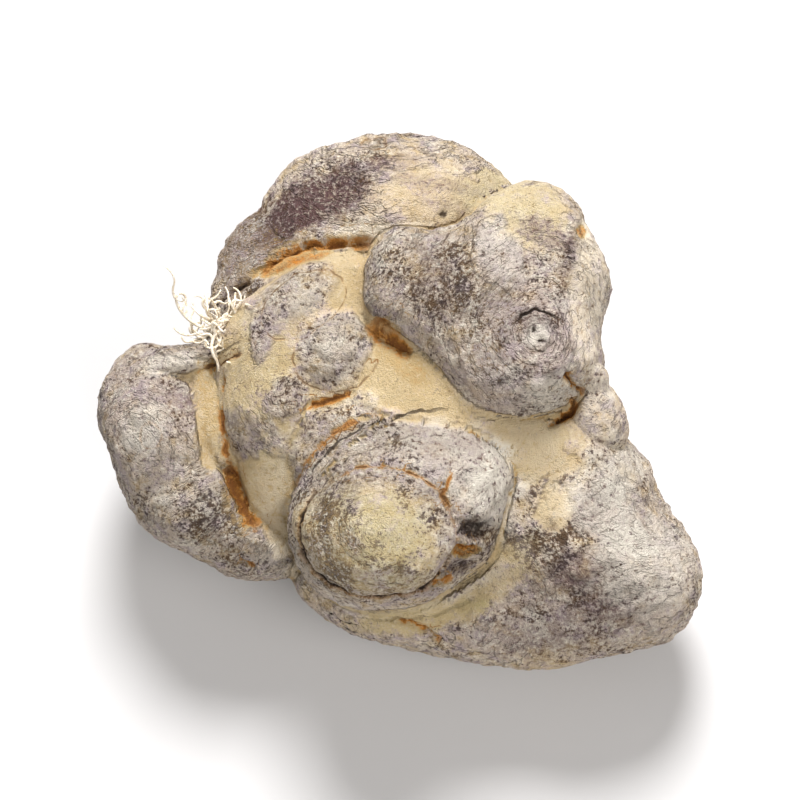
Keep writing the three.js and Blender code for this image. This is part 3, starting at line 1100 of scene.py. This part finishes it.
def region_shares(points):
    """How much each region has of each point's skin, which one is nearest, and how much further
    the second nearest is."""
    reach = np.stack([region_distance(points, region) for region in REGIONS.values()])
    nearest = reach.min(0)
    shares = np.exp(-(reach - nearest) / REGION_SOFTNESS)
    second = np.partition(reach, 1, axis=0)[1]
    return shares / shares.sum(0), reach.argmin(0), second - nearest


def grain_places(points, owners):
    """Where each point is in its region's grain: steps across the grain count in full, and steps
    along it, round the region's axis, count less. The regions lie well apart in it."""
    apart = 40
    grain = np.zeros_like(points)
    for index, region in enumerate(REGIONS.values()):
        mine = owners == index
        axis = np.array(region.axis, float)
        axis /= np.linalg.norm(axis)
        side = np.cross(axis, (1.0, 0.0, 0.0) if abs(axis[0]) < 0.9 else (0.0, 1.0, 0.0))
        side /= np.linalg.norm(side)
        other = np.cross(axis, side)
        arm = points[mine] - np.array(region.heart)
        reach = np.linalg.norm(arm, axis=1)
        tilt = np.arccos(np.clip(arm @ axis / np.maximum(reach, TINY), -1, 1))
        grain[mine, 0] = arm @ side * ALONG_GRAIN
        grain[mine, 1] = arm @ other * ALONG_GRAIN
        grain[mine, 2] = tilt * reach + apart * index
    return grain


def paint_face(paint, points, normals, shares):
    """Paints the patches, the cracks and the rings, which are all placed by u and v."""
    face = dried(points)
    wander = EDGE_WANDER * fractal(points, width=1.6, octaves=3, seed=1)
    sideways = fractal(points, width=0.9, octaves=2, seed=2)
    upwards = fractal(points, width=0.9, octaves=2, seed=3)
    flat = face[:, :2] + LINE_WANDER * np.stack([sideways, upwards], 1)
    in_view = topmost(face) * smoothstep(*TURNED_AWAY, normals[:, 2])
    names = list(REGIONS)

    def reach_of(feature):
        """Where a patch or a crack may be: in view, and on its own regions if it names any."""
        if not feature.on:
            return in_view
        return in_view * sum(shares[names.index(name)] for name in feature.on)

    for patch in PATCHES.values():
        paint.patch(patch, flat, wander, reach_of(patch))
    # Seen from the face, a crack on a steep wall looks narrower than it is.
    slope = np.clip(normals[:, 2], STEEPEST, 1)
    for crack in CRACKS.values():
        across, along = line_distance(flat, crack.points)
        paint.crack(crack, across / slope, along, reach_of(crack))
    for ring in RINGS.values():
        across, along = ring_distance(flat, ring)
        paint.crack(ring.crack, across / slope, along, in_view)


def paint_scars(paint, points):
    """Paints the ringed scars on the sides and the back, each with a pale eye in a shallow dish."""
    unsteady = 1 + 0.25 * fractal(points, width=1.6, octaves=3, seed=1)
    everywhere = np.ones(len(points))
    for centre, width in SCARS.values():
        reach = np.linalg.norm(points - np.array(centre), axis=1) * unsteady
        for share, look in SCAR_RINGS:
            paint.crack(look, reach - share * width, MIDWAY * everywhere, everywhere)
        eye = 1 - smoothstep(0.15 * width, 0.4 * width, reach)
        paint.pale += 0.5 * eye
        paint.rough -= 0.4 * eye
        paint.height -= 0.15 * (1 - smoothstep(0.5 * width, width, reach))


def paint_seams(paint, points, second, open_share):
    """The grooves between regions go orange in places, and dark where they are deepest: their dark
    brown, and also painted shade where the skin stands least open.
    """
    deep = 1 - smoothstep(0.12, 0.4, open_share)
    seam = (1 - smoothstep(0.05, 0.5, second)) * deep
    patchy = smoothstep(-0.15, 0.35, fractal(points, width=5.0, octaves=2, seed=4))
    paint.orange = np.maximum(paint.orange, SEAM_ORANGE * seam * patchy)
    # Painted shade, with the grooves' dark brown, where the seams lie deepest.
    paint.dark = np.maximum(paint.dark, SEAM_DARK_AND_SHADE * seam * (1 - 0.6 * patchy))


def painted(points, normals):
    """Everything that the features and the form do to the skin's points: the paint, how open the
    skin stands, its grain, and how clearly the grain shows."""
    paint = Paint(len(points))
    shares, owners, second = region_shares(points)
    open_share = openness(points, normals)
    for share, region in zip(shares, REGIONS.values()):
        paint.grey += share * region.grey
        paint.green += share * region.green
    paint.grey *= smoothstep(0.12, 0.5, open_share)
    paint_face(paint, points, normals, shares)
    paint_scars(paint, points)
    paint_seams(paint, points, second, open_share)

    grain = grain_places(points, owners)
    streaky = smoothstep(0.5, 1.6, second)
    proud = np.clip(paint.grey, 0, 1)
    dent = fractal(points, width=5.5, octaves=2, seed=7) * smoothstep(0.3, 0.8, open_share)
    wart = fractal(points, width=1.1, octaves=3, seed=6) * (0.25 + 0.75 * proud)
    wrinkle = fractal(grain, width=1.3, octaves=3, seed=5) * (0.3 + 0.7 * proud) * streaky
    paint.height += sizes().dents * dent + sizes().warts * wart + sizes().wrinkles * wrinkle
    return paint, open_share, grain, streaky


def set_attribute(mesh, name, kind, values):
    """Stores one row of values for each point under a name that the materials read."""
    attribute = mesh.attributes.new(name, kind, "POINT")
    slot = "color" if kind == "FLOAT_COLOR" else "vector"
    attribute.data.foreach_set(slot, np.ascontiguousarray(values, np.float32).ravel())


def skin_mesh():
    """The whole root's skin, at rest, in metres, with what its material reads."""
    mesh = grown_mesh()
    for _ in range(3):
        set_mesh_points(mesh, drawn_to_skin(mesh_points(mesh), rounds=1))
        smoothed(mesh, factor=0.5)
    points = drawn_to_skin(mesh_points(mesh), rounds=2)
    normals = skin_normal(points)
    paint, open_share, grain, streaky = painted(points, normals)

    rest = at_rest(dried(points + paint.height[:, None] * normals))
    floor = CAD_BOX[0].z / MM
    cut = 1 - smoothstep(0, 0.15, rest[:, 2] - floor)
    rest[:, 2] = np.maximum(rest[:, 2], floor)
    set_mesh_points(mesh, rest * MM)
    smoothed(mesh, factor=0.5, rounds=5, chosen=open_share < HOLLOW)

    line_paint = np.stack([getattr(paint, channel) for channel in paint.LINES], 1)
    set_attribute(mesh, "grain", "FLOAT_VECTOR", grain)
    set_attribute(mesh, "line_paint", "FLOAT_VECTOR", np.clip(line_paint, -LINE_REACH, LINE_REACH))
    # Colour attributes hold no negative numbers, so roughness is stored from 0 to 1.
    roughened = 0.5 + 0.5 * paint.rough
    colour_paints = {
        # Pale holds painted light besides pale skin, and dark holds painted shade besides pits and cracks.
        "skin_paint": (paint.grey, paint.green, paint.stain, paint.pale),
        "touch_paint": (streaky, roughened, paint.violet, np.ones(len(points))),
        "crack_and_shade_paint": (paint.orange, paint.dark, cut, np.ones(len(points))),
    }
    for name, channels in colour_paints.items():
        set_attribute(mesh, name, "FLOAT_COLOR", np.clip(np.stack(channels, 1), 0, 1.5))
    mesh.shade_smooth()
    return mesh


# ----------------------------------------------------------------------------------------------
# Materials
# ----------------------------------------------------------------------------------------------


class Shader:
    """A node tree with short ways to add its nodes. Values and sockets are both accepted."""

    def __init__(self, tree):
        self.tree = tree

    def node(self, kind, **settings):
        """Adds a node with those settings."""
        made = self.tree.nodes.new(kind)
        for name, value in settings.items():
            setattr(made, name, value)
        return made

    def feed(self, socket, value):
        """Joins a socket to another one, or sets it."""
        if isinstance(value, bpy.types.NodeSocket):
            self.tree.links.new(value, socket)
        else:
            socket.default_value = value

    def maths(self, operation, first, second=0.0, third=0.0):
        """A sum, product or other operation on numbers."""
        made = self.node("ShaderNodeMath", operation=operation)
        for socket, value in zip(made.inputs, (first, second, third)):
            self.feed(socket, value)
        return made.outputs[0]

    def ramp(self, value, low, high, start=0.0, end=1.0):
        """A smooth rise from start to end as value goes from low to high."""
        made = self.node("ShaderNodeMapRange", interpolation_type="SMOOTHSTEP")
        names = ("Value", "From Min", "From Max", "To Min", "To Max")
        for name, given in zip(names, (value, low, high, start, end)):
            self.feed(made.inputs[name], given)
        return made.outputs["Result"]

    def mix(self, share, first, second):
        """A colour part of the way from the first to the second."""
        made = self.node("ShaderNodeMix", data_type="RGBA")
        self.feed(made.inputs["Factor"], share)
        self.feed(made.inputs["A"], first)
        self.feed(made.inputs["B"], second)
        return made.outputs["Result"]

    def over(self, share, below, tint):
        """A colour laid over another, by its share."""
        return self.mix(share, below, linear(tint))

    def product(self, first, second):
        """Two numbers multiplied."""
        return self.maths("MULTIPLY", first, second)

    def masked(self, channel, share):
        """A share that fades out where its paint channel is nearly clear."""
        return self.product(share, self.ramp(channel, 0.0, 0.15))

    def between(self, share, first, second):
        """A number part of the way from the first to the second."""
        made = self.node("ShaderNodeMix", data_type="FLOAT")
        for title, value in (("Factor", share), ("A", first), ("B", second)):
            self.feed(made.inputs[title], value)
        return made.outputs["Result"]

    def noise(self, place, scale, detail=3.0, roughness=0.6, distortion=0.0):
        """Cloudy noise, with scale in waves to the millimetre."""
        made = self.node("ShaderNodeTexNoise")
        self.feed(made.inputs["Vector"], place)
        given = {"Scale": scale, "Detail": detail, "Roughness": roughness, "Distortion": distortion}
        for name, value in given.items():
            self.feed(made.inputs[name], value)
        return made.outputs["Fac"]

    def attribute(self, name):
        """One of the skin mesh's attributes."""
        return self.node("ShaderNodeAttribute", attribute_name=name).outputs

    def parts(self, colour_socket):
        """A colour's red, green and blue, each of which holds a share of something."""
        made = self.node("ShaderNodeSeparateColor")
        self.feed(made.inputs[0], colour_socket)
        return made.outputs

    def millimetres(self):
        """The object's own coordinates, in millimetres."""
        made = self.node("ShaderNodeMapping")
        self.feed(made.inputs["Vector"], self.node("ShaderNodeTexCoord").outputs["Object"])
        made.inputs["Scale"].default_value = (1 / MM, 1 / MM, 1 / MM)
        return made.outputs["Vector"]

    def shifted(self, place, reach):
        """The same place in another part of a pattern."""
        made = self.node("ShaderNodeVectorMath", operation="ADD")
        self.feed(made.inputs[0], place)
        made.inputs[1].default_value = (reach, reach, reach)
        return made.outputs[0]

    def bump(self, surface, height, distance):
        """Feeds a height to a surface's normal, with the depth of its relief in metres."""
        made = self.node("ShaderNodeBump")
        made.inputs["Distance"].default_value = distance
        self.feed(made.inputs["Height"], height)
        self.feed(surface["Normal"], made.outputs["Normal"])

    def group(self, tree, **values):
        """Places a node group with its own values."""
        made = self.node("ShaderNodeGroup", node_tree=tree)
        for name, value in values.items():
            self.feed(made.inputs[name.replace("_", " ").capitalize()], value)
        return made.outputs


def new_group(name, takes, gives):
    """An empty node group with its sockets, and its input and output nodes."""
    tree = bpy.data.node_groups.new(name, "ShaderNodeTree")
    for title, kind, default in takes:
        socket = tree.interface.new_socket(title, in_out="INPUT", socket_type=kind)
        if default is not None:
            socket.default_value = default
    for title, kind in gives:
        tree.interface.new_socket(title, in_out="OUTPUT", socket_type=kind)
    shader = Shader(tree)
    return shader, shader.node("NodeGroupInput").outputs, shader.node("NodeGroupOutput").inputs


# How many waves to the millimetre the pepper's three sizes of fleck have, and how they crowd.
COARSE_PEPPER = 2.1
MIDDLING_PEPPER = 2.8
TINY_PEPPER = 4.0
CROWDS = 0.32


def pepper_group():
    """Dark flecks, pale grit and the mottle between them, and the relief that goes with them."""
    if "Dry pepper" in bpy.data.node_groups:
        return bpy.data.node_groups["Dry pepper"]
    shader, given, made = new_group(
        "Dry pepper",
        [
            ("Place", "NodeSocketVector", None),
            ("Grain", "NodeSocketVector", None),
            ("Streaky", "NodeSocketFloat", 0.0),
            ("Density", "NodeSocketFloat", 0.6),
            ("Fineness", "NodeSocketFloat", 1.0),
        ],
        [
            ("Flecks", "NodeSocketFloat"),
            ("Grit", "NodeSocketFloat"),
            ("Mottle", "NodeSocketFloat"),
            ("Relief", "NodeSocketFloat"),
        ],
    )
    place = given["Place"]
    coarse = shader.product(given["Fineness"], COARSE_PEPPER)
    middling = shader.product(given["Fineness"], MIDDLING_PEPPER)
    tiny = shader.product(given["Fineness"], TINY_PEPPER)
    blots = shader.noise(place, coarse, detail=6.0, roughness=0.72, distortion=0.15)
    streaks = shader.noise(given["Grain"], middling, detail=5.0, roughness=0.7)
    specks = shader.noise(shader.shifted(place, 53.0), tiny, detail=3.0, roughness=0.66)
    mottle = shader.between(shader.product(given["Streaky"], 0.45), blots, streaks)
    both = shader.between(0.45, mottle, specks)
    # The flecks crowd together in places, and where the skin is dense with them.
    crowd = shader.noise(shader.shifted(place, 17.0), CROWDS, detail=2.0)
    bias = shader.product(shader.maths("SUBTRACT", crowd, 0.5), 0.45)
    bias = shader.maths("MULTIPLY_ADD", given["Density"], -0.055, shader.maths("ADD", bias, 0.042))
    coarse_flecks = shader.ramp(shader.maths("ADD", mottle, bias), 0.42, 0.37)
    small_flecks = shader.ramp(shader.maths("ADD", specks, bias), 0.405, 0.35)
    shader.feed(made["Flecks"], shader.maths("MAXIMUM", coarse_flecks, small_flecks))
    shader.feed(made["Grit"], shader.ramp(both, 0.525, 0.59))
    shader.feed(made["Mottle"], mottle)
    shader.feed(made["Relief"], both)
    return shader.tree


def new_material(name):
    """An empty material with its Principled shader."""
    material = bpy.data.materials.new(name)
    material.use_nodes = True
    shader = Shader(material.node_tree)
    return material, shader, material.node_tree.nodes["Principled BSDF"].inputs


class Skin:
    """What the root's skin is like at a point: its painted shares, as sockets, and the noises
    that the layers of its colour have in common."""

    def __init__(self, shader):
        paint = shader.attribute("skin_paint")
        self.grey, self.green, self.stain = shader.parts(paint["Color"])
        # Pale skin, and painted light where the skin lies in shade.
        self.pale = paint["Alpha"]
        touch = shader.parts(shader.attribute("touch_paint")["Color"])
        self.streaky, self.roughened, self.violet = touch
        # Orange and dark, whose dark also carries painted shade.
        hollows = shader.parts(shader.attribute("crack_and_shade_paint")["Color"])
        self.orange, self.dark, self.cut = hollows
        line = shader.node("ShaderNodeSeparateXYZ")
        shader.feed(line.inputs[0], shader.attribute("line_paint")["Vector"])
        self.across, self.line_orange, self.line_dark = line.outputs
        self.grain = shader.attribute("grain")["Vector"]
        place = shader.millimetres()
        rough = shader.maths("MULTIPLY_ADD", self.roughened, 2.0, -1.0)
        pepper = shader.group(
            pepper_group(),
            place=place,
            grain=self.grain,
            streaky=self.streaky,
            density=shader.maths("ADD", self.grey, rough),
        )
        self.flecks, self.grit, self.mottle, self.relief = pepper
        self.blotch = shader.noise(place, 0.4)
        self.cast = shader.noise(shader.shifted(place, 31.0), 0.7, detail=4.0, roughness=0.65)
        self.fine = shader.noise(place, 9.0, detail=2.0, roughness=0.7)
        self.raggedness = shader.maths("SUBTRACT", self.relief, 0.5)


def weathered_layer(shader, skin, tint):
    """The grey layer: from dark pits through grey and violet or ochre casts to pale crust."""
    dips = shader.ramp(skin.mottle, 0.38, 0.5)
    layer = shader.over(dips, linear(tint.grey_dark), tint.grey)
    layer = shader.over(shader.ramp(skin.cast, 0.52, 0.64, 0.0, 0.7), layer, tint.violet)
    layer = shader.over(shader.ramp(skin.cast, 0.48, 0.36, 0.0, 0.55), layer, tint.ochre)
    layer = shader.over(shader.product(skin.violet, 0.8), layer, tint.violet)
    crust = shader.ramp(shader.maths("ADD", skin.relief, skin.blotch), 1.02, 1.2, 0.0, 0.6)
    return shader.over(crust, layer, tint.chalk)


def smooth_skin(shader, skin, tint):
    """The smooth skin under it, with its bloom and its yellowish green."""
    bloom = shader.ramp(skin.blotch, 0.35, 0.65, 0.0, 0.5)
    smooth = shader.over(bloom, linear(tint.cream), tint.pale_cream)
    smooth = shader.over(shader.ramp(skin.fine, 0.5, 0.3, 0.0, 0.35), smooth, tint.ochre)
    greenish = shader.product(skin.green, shader.ramp(skin.cast, 0.3, 0.6, 0.4, 1.0))
    return shader.over(greenish, smooth, tint.green)


def creases(shader, skin):
    """Where the grey skin creased as it dried, along the grain."""
    wave = shader.noise(shader.shifted(skin.grain, 7.0), 0.8)
    near = shader.ramp(shader.maths("ABSOLUTE", shader.maths("SUBTRACT", wave, 0.5)), 0.035, 0.0)
    return shader.product(near, shader.product(skin.streaky, shader.ramp(skin.grey, 0.15, 0.6)))


def with_pepper(shader, skin, tint, below, creased):
    """Stains, then dark flecks in the pits of the relief, and pale grit on its tops."""
    stained = shader.product(skin.stain, shader.ramp(skin.relief, 0.6, 0.45, 0.35, 1.0))
    shown = shader.over(stained, below, tint.stain)
    flecks = shader.product(skin.flecks, shader.ramp(skin.grey, 0.0, 0.6, 0.4, 0.9))
    flecks = shader.maths("MAXIMUM", flecks, shader.product(creased, 0.36))
    warmth = shader.ramp(skin.cast, 0.4, 0.6)
    shown = shader.mix(flecks, shown, shader.over(warmth, linear(tint.brown_fleck), tint.fleck))
    chalky = shader.product(skin.grit, shader.ramp(skin.grey, 0.0, 0.8, 0.2, 0.65))
    chalky = shader.product(chalky, shader.ramp(skin.stain, 0.1, 0.8, 1.0, 0.2))
    # The pale channel in chalk: pale skin, and painted light where the skin lies in shade.
    pale_and_painted_light = shader.product(skin.pale, shader.ramp(skin.mottle, 0.38, 0.5))
    return shader.over(shader.maths("MAXIMUM", chalky, pale_and_painted_light), shown, tint.chalk)


def with_hollows_and_shade(shader, skin, tint, below):
    """Ragged hollows: ochre first, then orange, and burnt or black inside. The black also lays the
    painted shade of the seams and of some patches.
    """
    ragged_edge = shader.product(skin.raggedness, 1.6)
    glow = shader.maths("SUBTRACT", skin.orange, ragged_edge)
    patchy = shader.ramp(shader.maths("ADD", skin.cast, skin.fine), 0.85, 1.05)
    warm = shader.over(patchy, linear(tint.burnt), tint.orange)
    ochre = shader.masked(skin.orange, shader.ramp(glow, 0.1, 0.45))
    shown = shader.over(ochre, below, tint.ochre)
    shown = shader.mix(shader.masked(skin.orange, shader.ramp(glow, 0.35, 0.9)), shown, warm)
    # Pits go dark, and so does the painted shade in the dark channel.
    pit = shader.ramp(shader.maths("SUBTRACT", skin.dark, ragged_edge), 0.3, 0.8)
    pit = shader.between(0.5, shader.masked(skin.dark, pit), skin.dark)
    return shader.over(pit, shown, tint.dark)


def with_cracks(shader, skin, tint, below):
    """Cracks glow ochre at their lips, orange inside them and dark along their middles, with
    breaks in all but the darkest. Returns the colour and how much of the dark line shows."""
    breaks = shader.ramp(skin.cast, 0.44, 0.66, 0.0, 1.6)
    breaks = shader.product(breaks, shader.ramp(skin.line_dark, 0.95, 0.8))
    away = shader.maths("ADD", shader.product(skin.raggedness, 1.6), breaks)
    away = shader.maths("ADD", shader.maths("ABSOLUTE", skin.across), away)
    lips = shader.product(shader.ramp(away, 3.4, 1.4, 0.0, 0.75), skin.line_orange)
    shown = shader.over(lips, below, tint.ochre)
    inner = shader.product(shader.ramp(away, 2.0, 1.0, 0.0, 0.9), skin.line_orange)
    shown = shader.over(inner, shown, tint.orange)
    core = shader.product(shader.ramp(away, 0.9, 0.1, 0.0, 0.7), skin.line_orange)
    shown = shader.over(core, shown, tint.burnt)
    line = shader.product(shader.ramp(away, 1.3, 0.5), skin.line_dark)
    return shader.over(line, shown, tint.dark), line


def skin_material():
    """Dry root skin: cream hollows under a ragged grey layer, peppered with dark flecks."""
    material, shader, surface = new_material("dry root skin")
    tint = colours()
    skin = Skin(shader)
    creased = creases(shader, skin)

    # The grey layer is flaky, so its edge is ragged and it lets some smooth skin through.
    edge = shader.maths("MULTIPLY_ADD", skin.raggedness, -1.8, skin.grey)
    edge = shader.maths("ADD", shader.maths("SUBTRACT", skin.cast, 0.5), edge)
    layer = shader.ramp(edge, 0.05, 0.75)
    weathered = weathered_layer(shader, skin, tint)
    shown = shader.mix(shader.product(layer, 0.92), smooth_skin(shader, skin, tint), weathered)
    shown = with_pepper(shader, skin, tint, shown, creased)
    shown = with_hollows_and_shade(shader, skin, tint, shown)
    shown, line = with_cracks(shader, skin, tint, shown)
    # Where the knife took the stubs off, the root's cream inside shows.
    shown = shader.over(shader.product(skin.cut, 0.8), shown, tint.cream)
    shader.feed(surface["Base Color"], shown)
    shader.feed(surface["Roughness"], shader.ramp(layer, 0.0, 1.0, 0.6, 0.92))
    surface["Specular IOR Level"].default_value = 0.35

    height = shader.product(skin.relief, shader.ramp(skin.grey, 0.0, 0.7, 0.25, 1.0))
    height = shader.maths("MULTIPLY_ADD", skin.fine, 0.14, height)
    height = shader.maths("MULTIPLY_ADD", layer, 0.12, height)
    height = shader.product(height, shader.maths("MULTIPLY_ADD", skin.roughened, 0.9, 0.75))
    height = shader.maths("MULTIPLY_ADD", line, -0.3, height)
    height = shader.maths("MULTIPLY_ADD", creased, -0.3, height)
    shader.bump(surface, height, 1.5 * MM)
    return material


def fibre_material():
    """Pale, dry rootlet fibre."""
    material, shader, surface = new_material("dry rootlet fibre")
    tint = colours()
    place = shader.millimetres()
    pepper = shader.group(pepper_group(), place=place, grain=place, fineness=1.6)
    dusty = shader.ramp(pepper["Relief"], 0.4, 0.55)
    fibre = shader.over(dusty, linear(tint.pale_cream), tint.chalk)
    fibre = shader.over(shader.product(pepper["Flecks"], 0.5), fibre, tint.grey_dark)
    shader.feed(surface["Base Color"], fibre)
    surface["Roughness"].default_value = 0.85
    shader.bump(surface, pepper["Relief"], 0.05 * MM)
    return material


def floor_material():
    """Plain, matt, pale board."""
    material, shader, surface = new_material("pale board")
    surface["Base Color"].default_value = linear(colours().floor)
    surface["Roughness"].default_value = 0.8
    return material


# ----------------------------------------------------------------------------------------------
# Operators, one for each piece and one for the stage
# ----------------------------------------------------------------------------------------------


def placed(name, mesh, material):
    """A piece at the origin, with its place in its mesh."""
    piece = bpy.data.objects.new(name, mesh)
    bpy.context.collection.objects.link(piece)
    mesh.materials.append(material)
    return piece


class ROOT_OT_grow_skin(bpy.types.Operator):
    """Grow the root's skin over its lobes, with its cracks, pits and stains"""

    bl_idname = "root.grow_skin"
    bl_label = "Grow Root"
    bl_options = {"REGISTER", "UNDO"}

    def execute(self, context):
        root = placed("notoginseng_skin", skin_mesh(), skin_material())
        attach(root, BODY)
        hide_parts(CAD_NODE)
        return {"FINISHED"}


# Where the tuft of fibres grows, and the way that it leans, in the face frame.
TUFT_FOOT = ((-13.6, 4.2, 1.9), (-12.4, 5.6, 3.0))
TUFT_LEAN = (-0.5, 0.85, 0.3)
MAIN_FIBRES = 12
FIBRE_SIDES = 5
FIBRE_STEPS = 12


def fibre(form, foot, heading, length, width, draw):
    """One tapered fibre that curls one way and then the other, extruded ring by ring from its
    foot. Returns the points along it."""
    facing = Vector(heading).to_track_quat("Z", "Y").to_matrix().to_4x4()
    start = Matrix.Translation(foot) @ facing
    made = bmesh.ops.create_circle(
        form, cap_ends=True, radius=width / 2, segments=FIBRE_SIDES, matrix=start
    )
    ring = made["verts"]
    edges = [edge for edge in form.edges if all(vert in ring for vert in edge.verts)]
    centre = Vector(foot)
    way = Vector(heading).normalized()
    path = [centre.copy()]
    hinge = way.cross(Vector([draw.uniform(-1, 1) for _ in range(3)])).normalized()
    bend = math.radians(draw.uniform(10, 26))
    swap = draw.randint(4, 10)
    for step in range(FIBRE_STEPS):
        turn = Matrix.Rotation(bend if step < swap else -bend, 4, hinge)
        way = (turn @ way).normalized()
        ahead = way * length / FIBRE_STEPS
        made = bmesh.ops.extrude_edge_only(form, edges=edges)["geom"]
        ring = [item for item in made if isinstance(item, bmesh.types.BMVert)]
        edges = [item for item in made if isinstance(item, bmesh.types.BMEdge)]
        bmesh.ops.translate(form, vec=ahead, verts=ring)
        centre += ahead
        path.append(centre.copy())
        turn = turn @ Matrix.Diagonal((0.94, 0.94, 0.94, 1))
        bmesh.ops.transform(form, matrix=turn, space=Matrix.Translation(-centre), verts=ring)
    bmesh.ops.contextual_create(form, geom=ring)
    return path


def strayed(way, reach, draw):
    """A direction or a place moved at random."""
    return Vector(way) + Vector([draw.uniform(-reach, reach) for _ in range(3)])


class ROOT_OT_add_tuft(bpy.types.Operator):
    """Add the tangled tuft of rootlet fibres at the end of the left ridge"""

    bl_idname = "root.add_tuft"
    bl_label = "Add Rootlet Tuft"
    bl_options = {"REGISTER", "UNDO"}

    def execute(self, context):
        draw = random.Random(11)
        form = bmesh.new()
        first, last = (Vector(end) for end in TUFT_FOOT)
        feet = []
        for count in range(sizes().fibres):
            width = sizes().fibre_width * draw.uniform(0.6, 1.15)
            if count < MAIN_FIBRES:
                foot = strayed(first.lerp(last, draw.random()), 0.2, draw)
                heading = strayed(TUFT_LEAN, 0.35, draw)
                feet += fibre(form, foot, heading, draw.uniform(3.6, 6.0), width, draw)[3:]
            else:
                heading = strayed(TUFT_LEAN, 0.9, draw)
                fibre(form, draw.choice(feet), heading, draw.uniform(1.4, 3.4), 0.8 * width, draw)
        bmesh.ops.recalc_face_normals(form, faces=form.faces)
        mesh = bpy.data.meshes.new("rootlet_tuft")
        form.to_mesh(mesh)
        form.free()
        set_mesh_points(mesh, at_rest(mesh_points(mesh)) * MM)
        mesh.shade_smooth()
        tuft = placed("rootlet_tuft", mesh, fibre_material())
        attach(tuft, BODY)
        return {"FINISHED"}


# The stage: the camera looks straight at the knobbly face, and the light is broad and soft.
CAMERA_DISTANCE = 0.36
CAMERA_VIEW = 0.0314
CAMERA_LIFT = math.radians(72)
# Each light's name, where it stands from the root, its width, its power and its colour.
LIGHTS = (
    ("key", (0.0, 0.36, 0.44), 0.24, 5.65, (1.0, 0.985, 0.96)),
    ("fill", (0.26, -0.30, 0.36), 0.45, 2.2, (1.0, 0.955, 0.89)),
    ("side", (-0.44, -0.04, 0.27), 0.35, 0.5, (1.0, 0.98, 0.94)),
)
SKY_STRENGTH = 0.22
# From the floor's middle to its edge, in metres.
FLOOR_REACH = 1.5


def aimed(piece, place, target):
    """Puts a camera or a light in place, looking at its target."""
    piece.location = place
    piece.rotation_euler = (Vector(target) - Vector(place)).to_track_quat("-Z", "Y").to_euler()


class ROOT_OT_set_stage(bpy.types.Operator):
    """Set the pale floor, the soft lights and the camera"""

    bl_idname = "root.set_stage"
    bl_label = "Set Stage"
    bl_options = {"REGISTER", "UNDO"}

    def execute(self, context):
        form = bmesh.new()
        bmesh.ops.create_grid(form, x_segments=1, y_segments=1, size=FLOOR_REACH)
        mesh = bpy.data.meshes.new("floor")
        form.to_mesh(mesh)
        form.free()
        placed("floor", mesh, floor_material())

        middle = Vector(at_rest(np.zeros((1, 3)))[0] * MM)
        for name, place, width, power, tint in LIGHTS:
            light = bpy.data.lights.new(name, "AREA")
            light.shape = "DISK"
            light.size = width
            light.energy = power
            light.color = tint
            lamp = bpy.data.objects.new(name, light)
            bpy.context.collection.objects.link(lamp)
            aimed(lamp, middle + Vector(place), middle)

        world = bpy.data.worlds.new("soft studio")
        world.use_nodes = True
        sky = world.node_tree.nodes["Background"].inputs
        sky["Color"].default_value = (1.0, 1.0, 1.0, 1.0)
        sky["Strength"].default_value = SKY_STRENGTH
        context.scene.world = world
        context.scene.view_settings.view_transform = "Standard"

        camera = bpy.data.cameras.new("camera")
        camera.sensor_width = 36
        camera.lens = camera.sensor_width / 2 * CAMERA_DISTANCE / CAMERA_VIEW
        camera.clip_start = 0.01
        eye = bpy.data.objects.new("camera", camera)
        bpy.context.collection.objects.link(eye)
        away = Vector((0, -math.cos(CAMERA_LIFT), math.sin(CAMERA_LIFT)))
        aimed(eye, middle + away * CAMERA_DISTANCE, middle)
        context.scene.camera = eye
        return {"FINISHED"}


class ROOT_PT_panel(bpy.types.Panel):
    """The root's operators, sizes and colours"""

    bl_label = "Dried Root"
    bl_idname = "ROOT_PT_panel"
    bl_space_type = "VIEW_3D"
    bl_region_type = "UI"
    bl_category = "Root"

    def draw(self, context):
        for operator in (ROOT_OT_grow_skin, ROOT_OT_add_tuft, ROOT_OT_set_stage):
            self.layout.operator(operator.bl_idname)
        for group in (sizes(), colours()):
            box = self.layout.box()
            for name in group.bl_rna.properties.keys():
                if name not in ("rna_type", "name"):
                    box.prop(group, name)


CLASSES = (
    RootSizes,
    RootColours,
    ROOT_OT_grow_skin,
    ROOT_OT_add_tuft,
    ROOT_OT_set_stage,
    ROOT_PT_panel,
)


def register():
    """Adds the classes and their settings to Blender."""
    for each in CLASSES:
        bpy.utils.register_class(each)
    bpy.types.Scene.root_sizes = PointerProperty(type=RootSizes)
    bpy.types.Scene.root_colours = PointerProperty(type=RootColours)


def unregister():
    """Takes them out again."""
    del bpy.types.Scene.root_colours
    del bpy.types.Scene.root_sizes
    for each in reversed(CLASSES):
        bpy.utils.unregister_class(each)


def main():
    """Builds everything in order."""
    register()
    bpy.ops.root.set_stage()
    bpy.ops.root.grow_skin()
    bpy.ops.root.add_tuft()


if __name__ == "__main__":
    main()
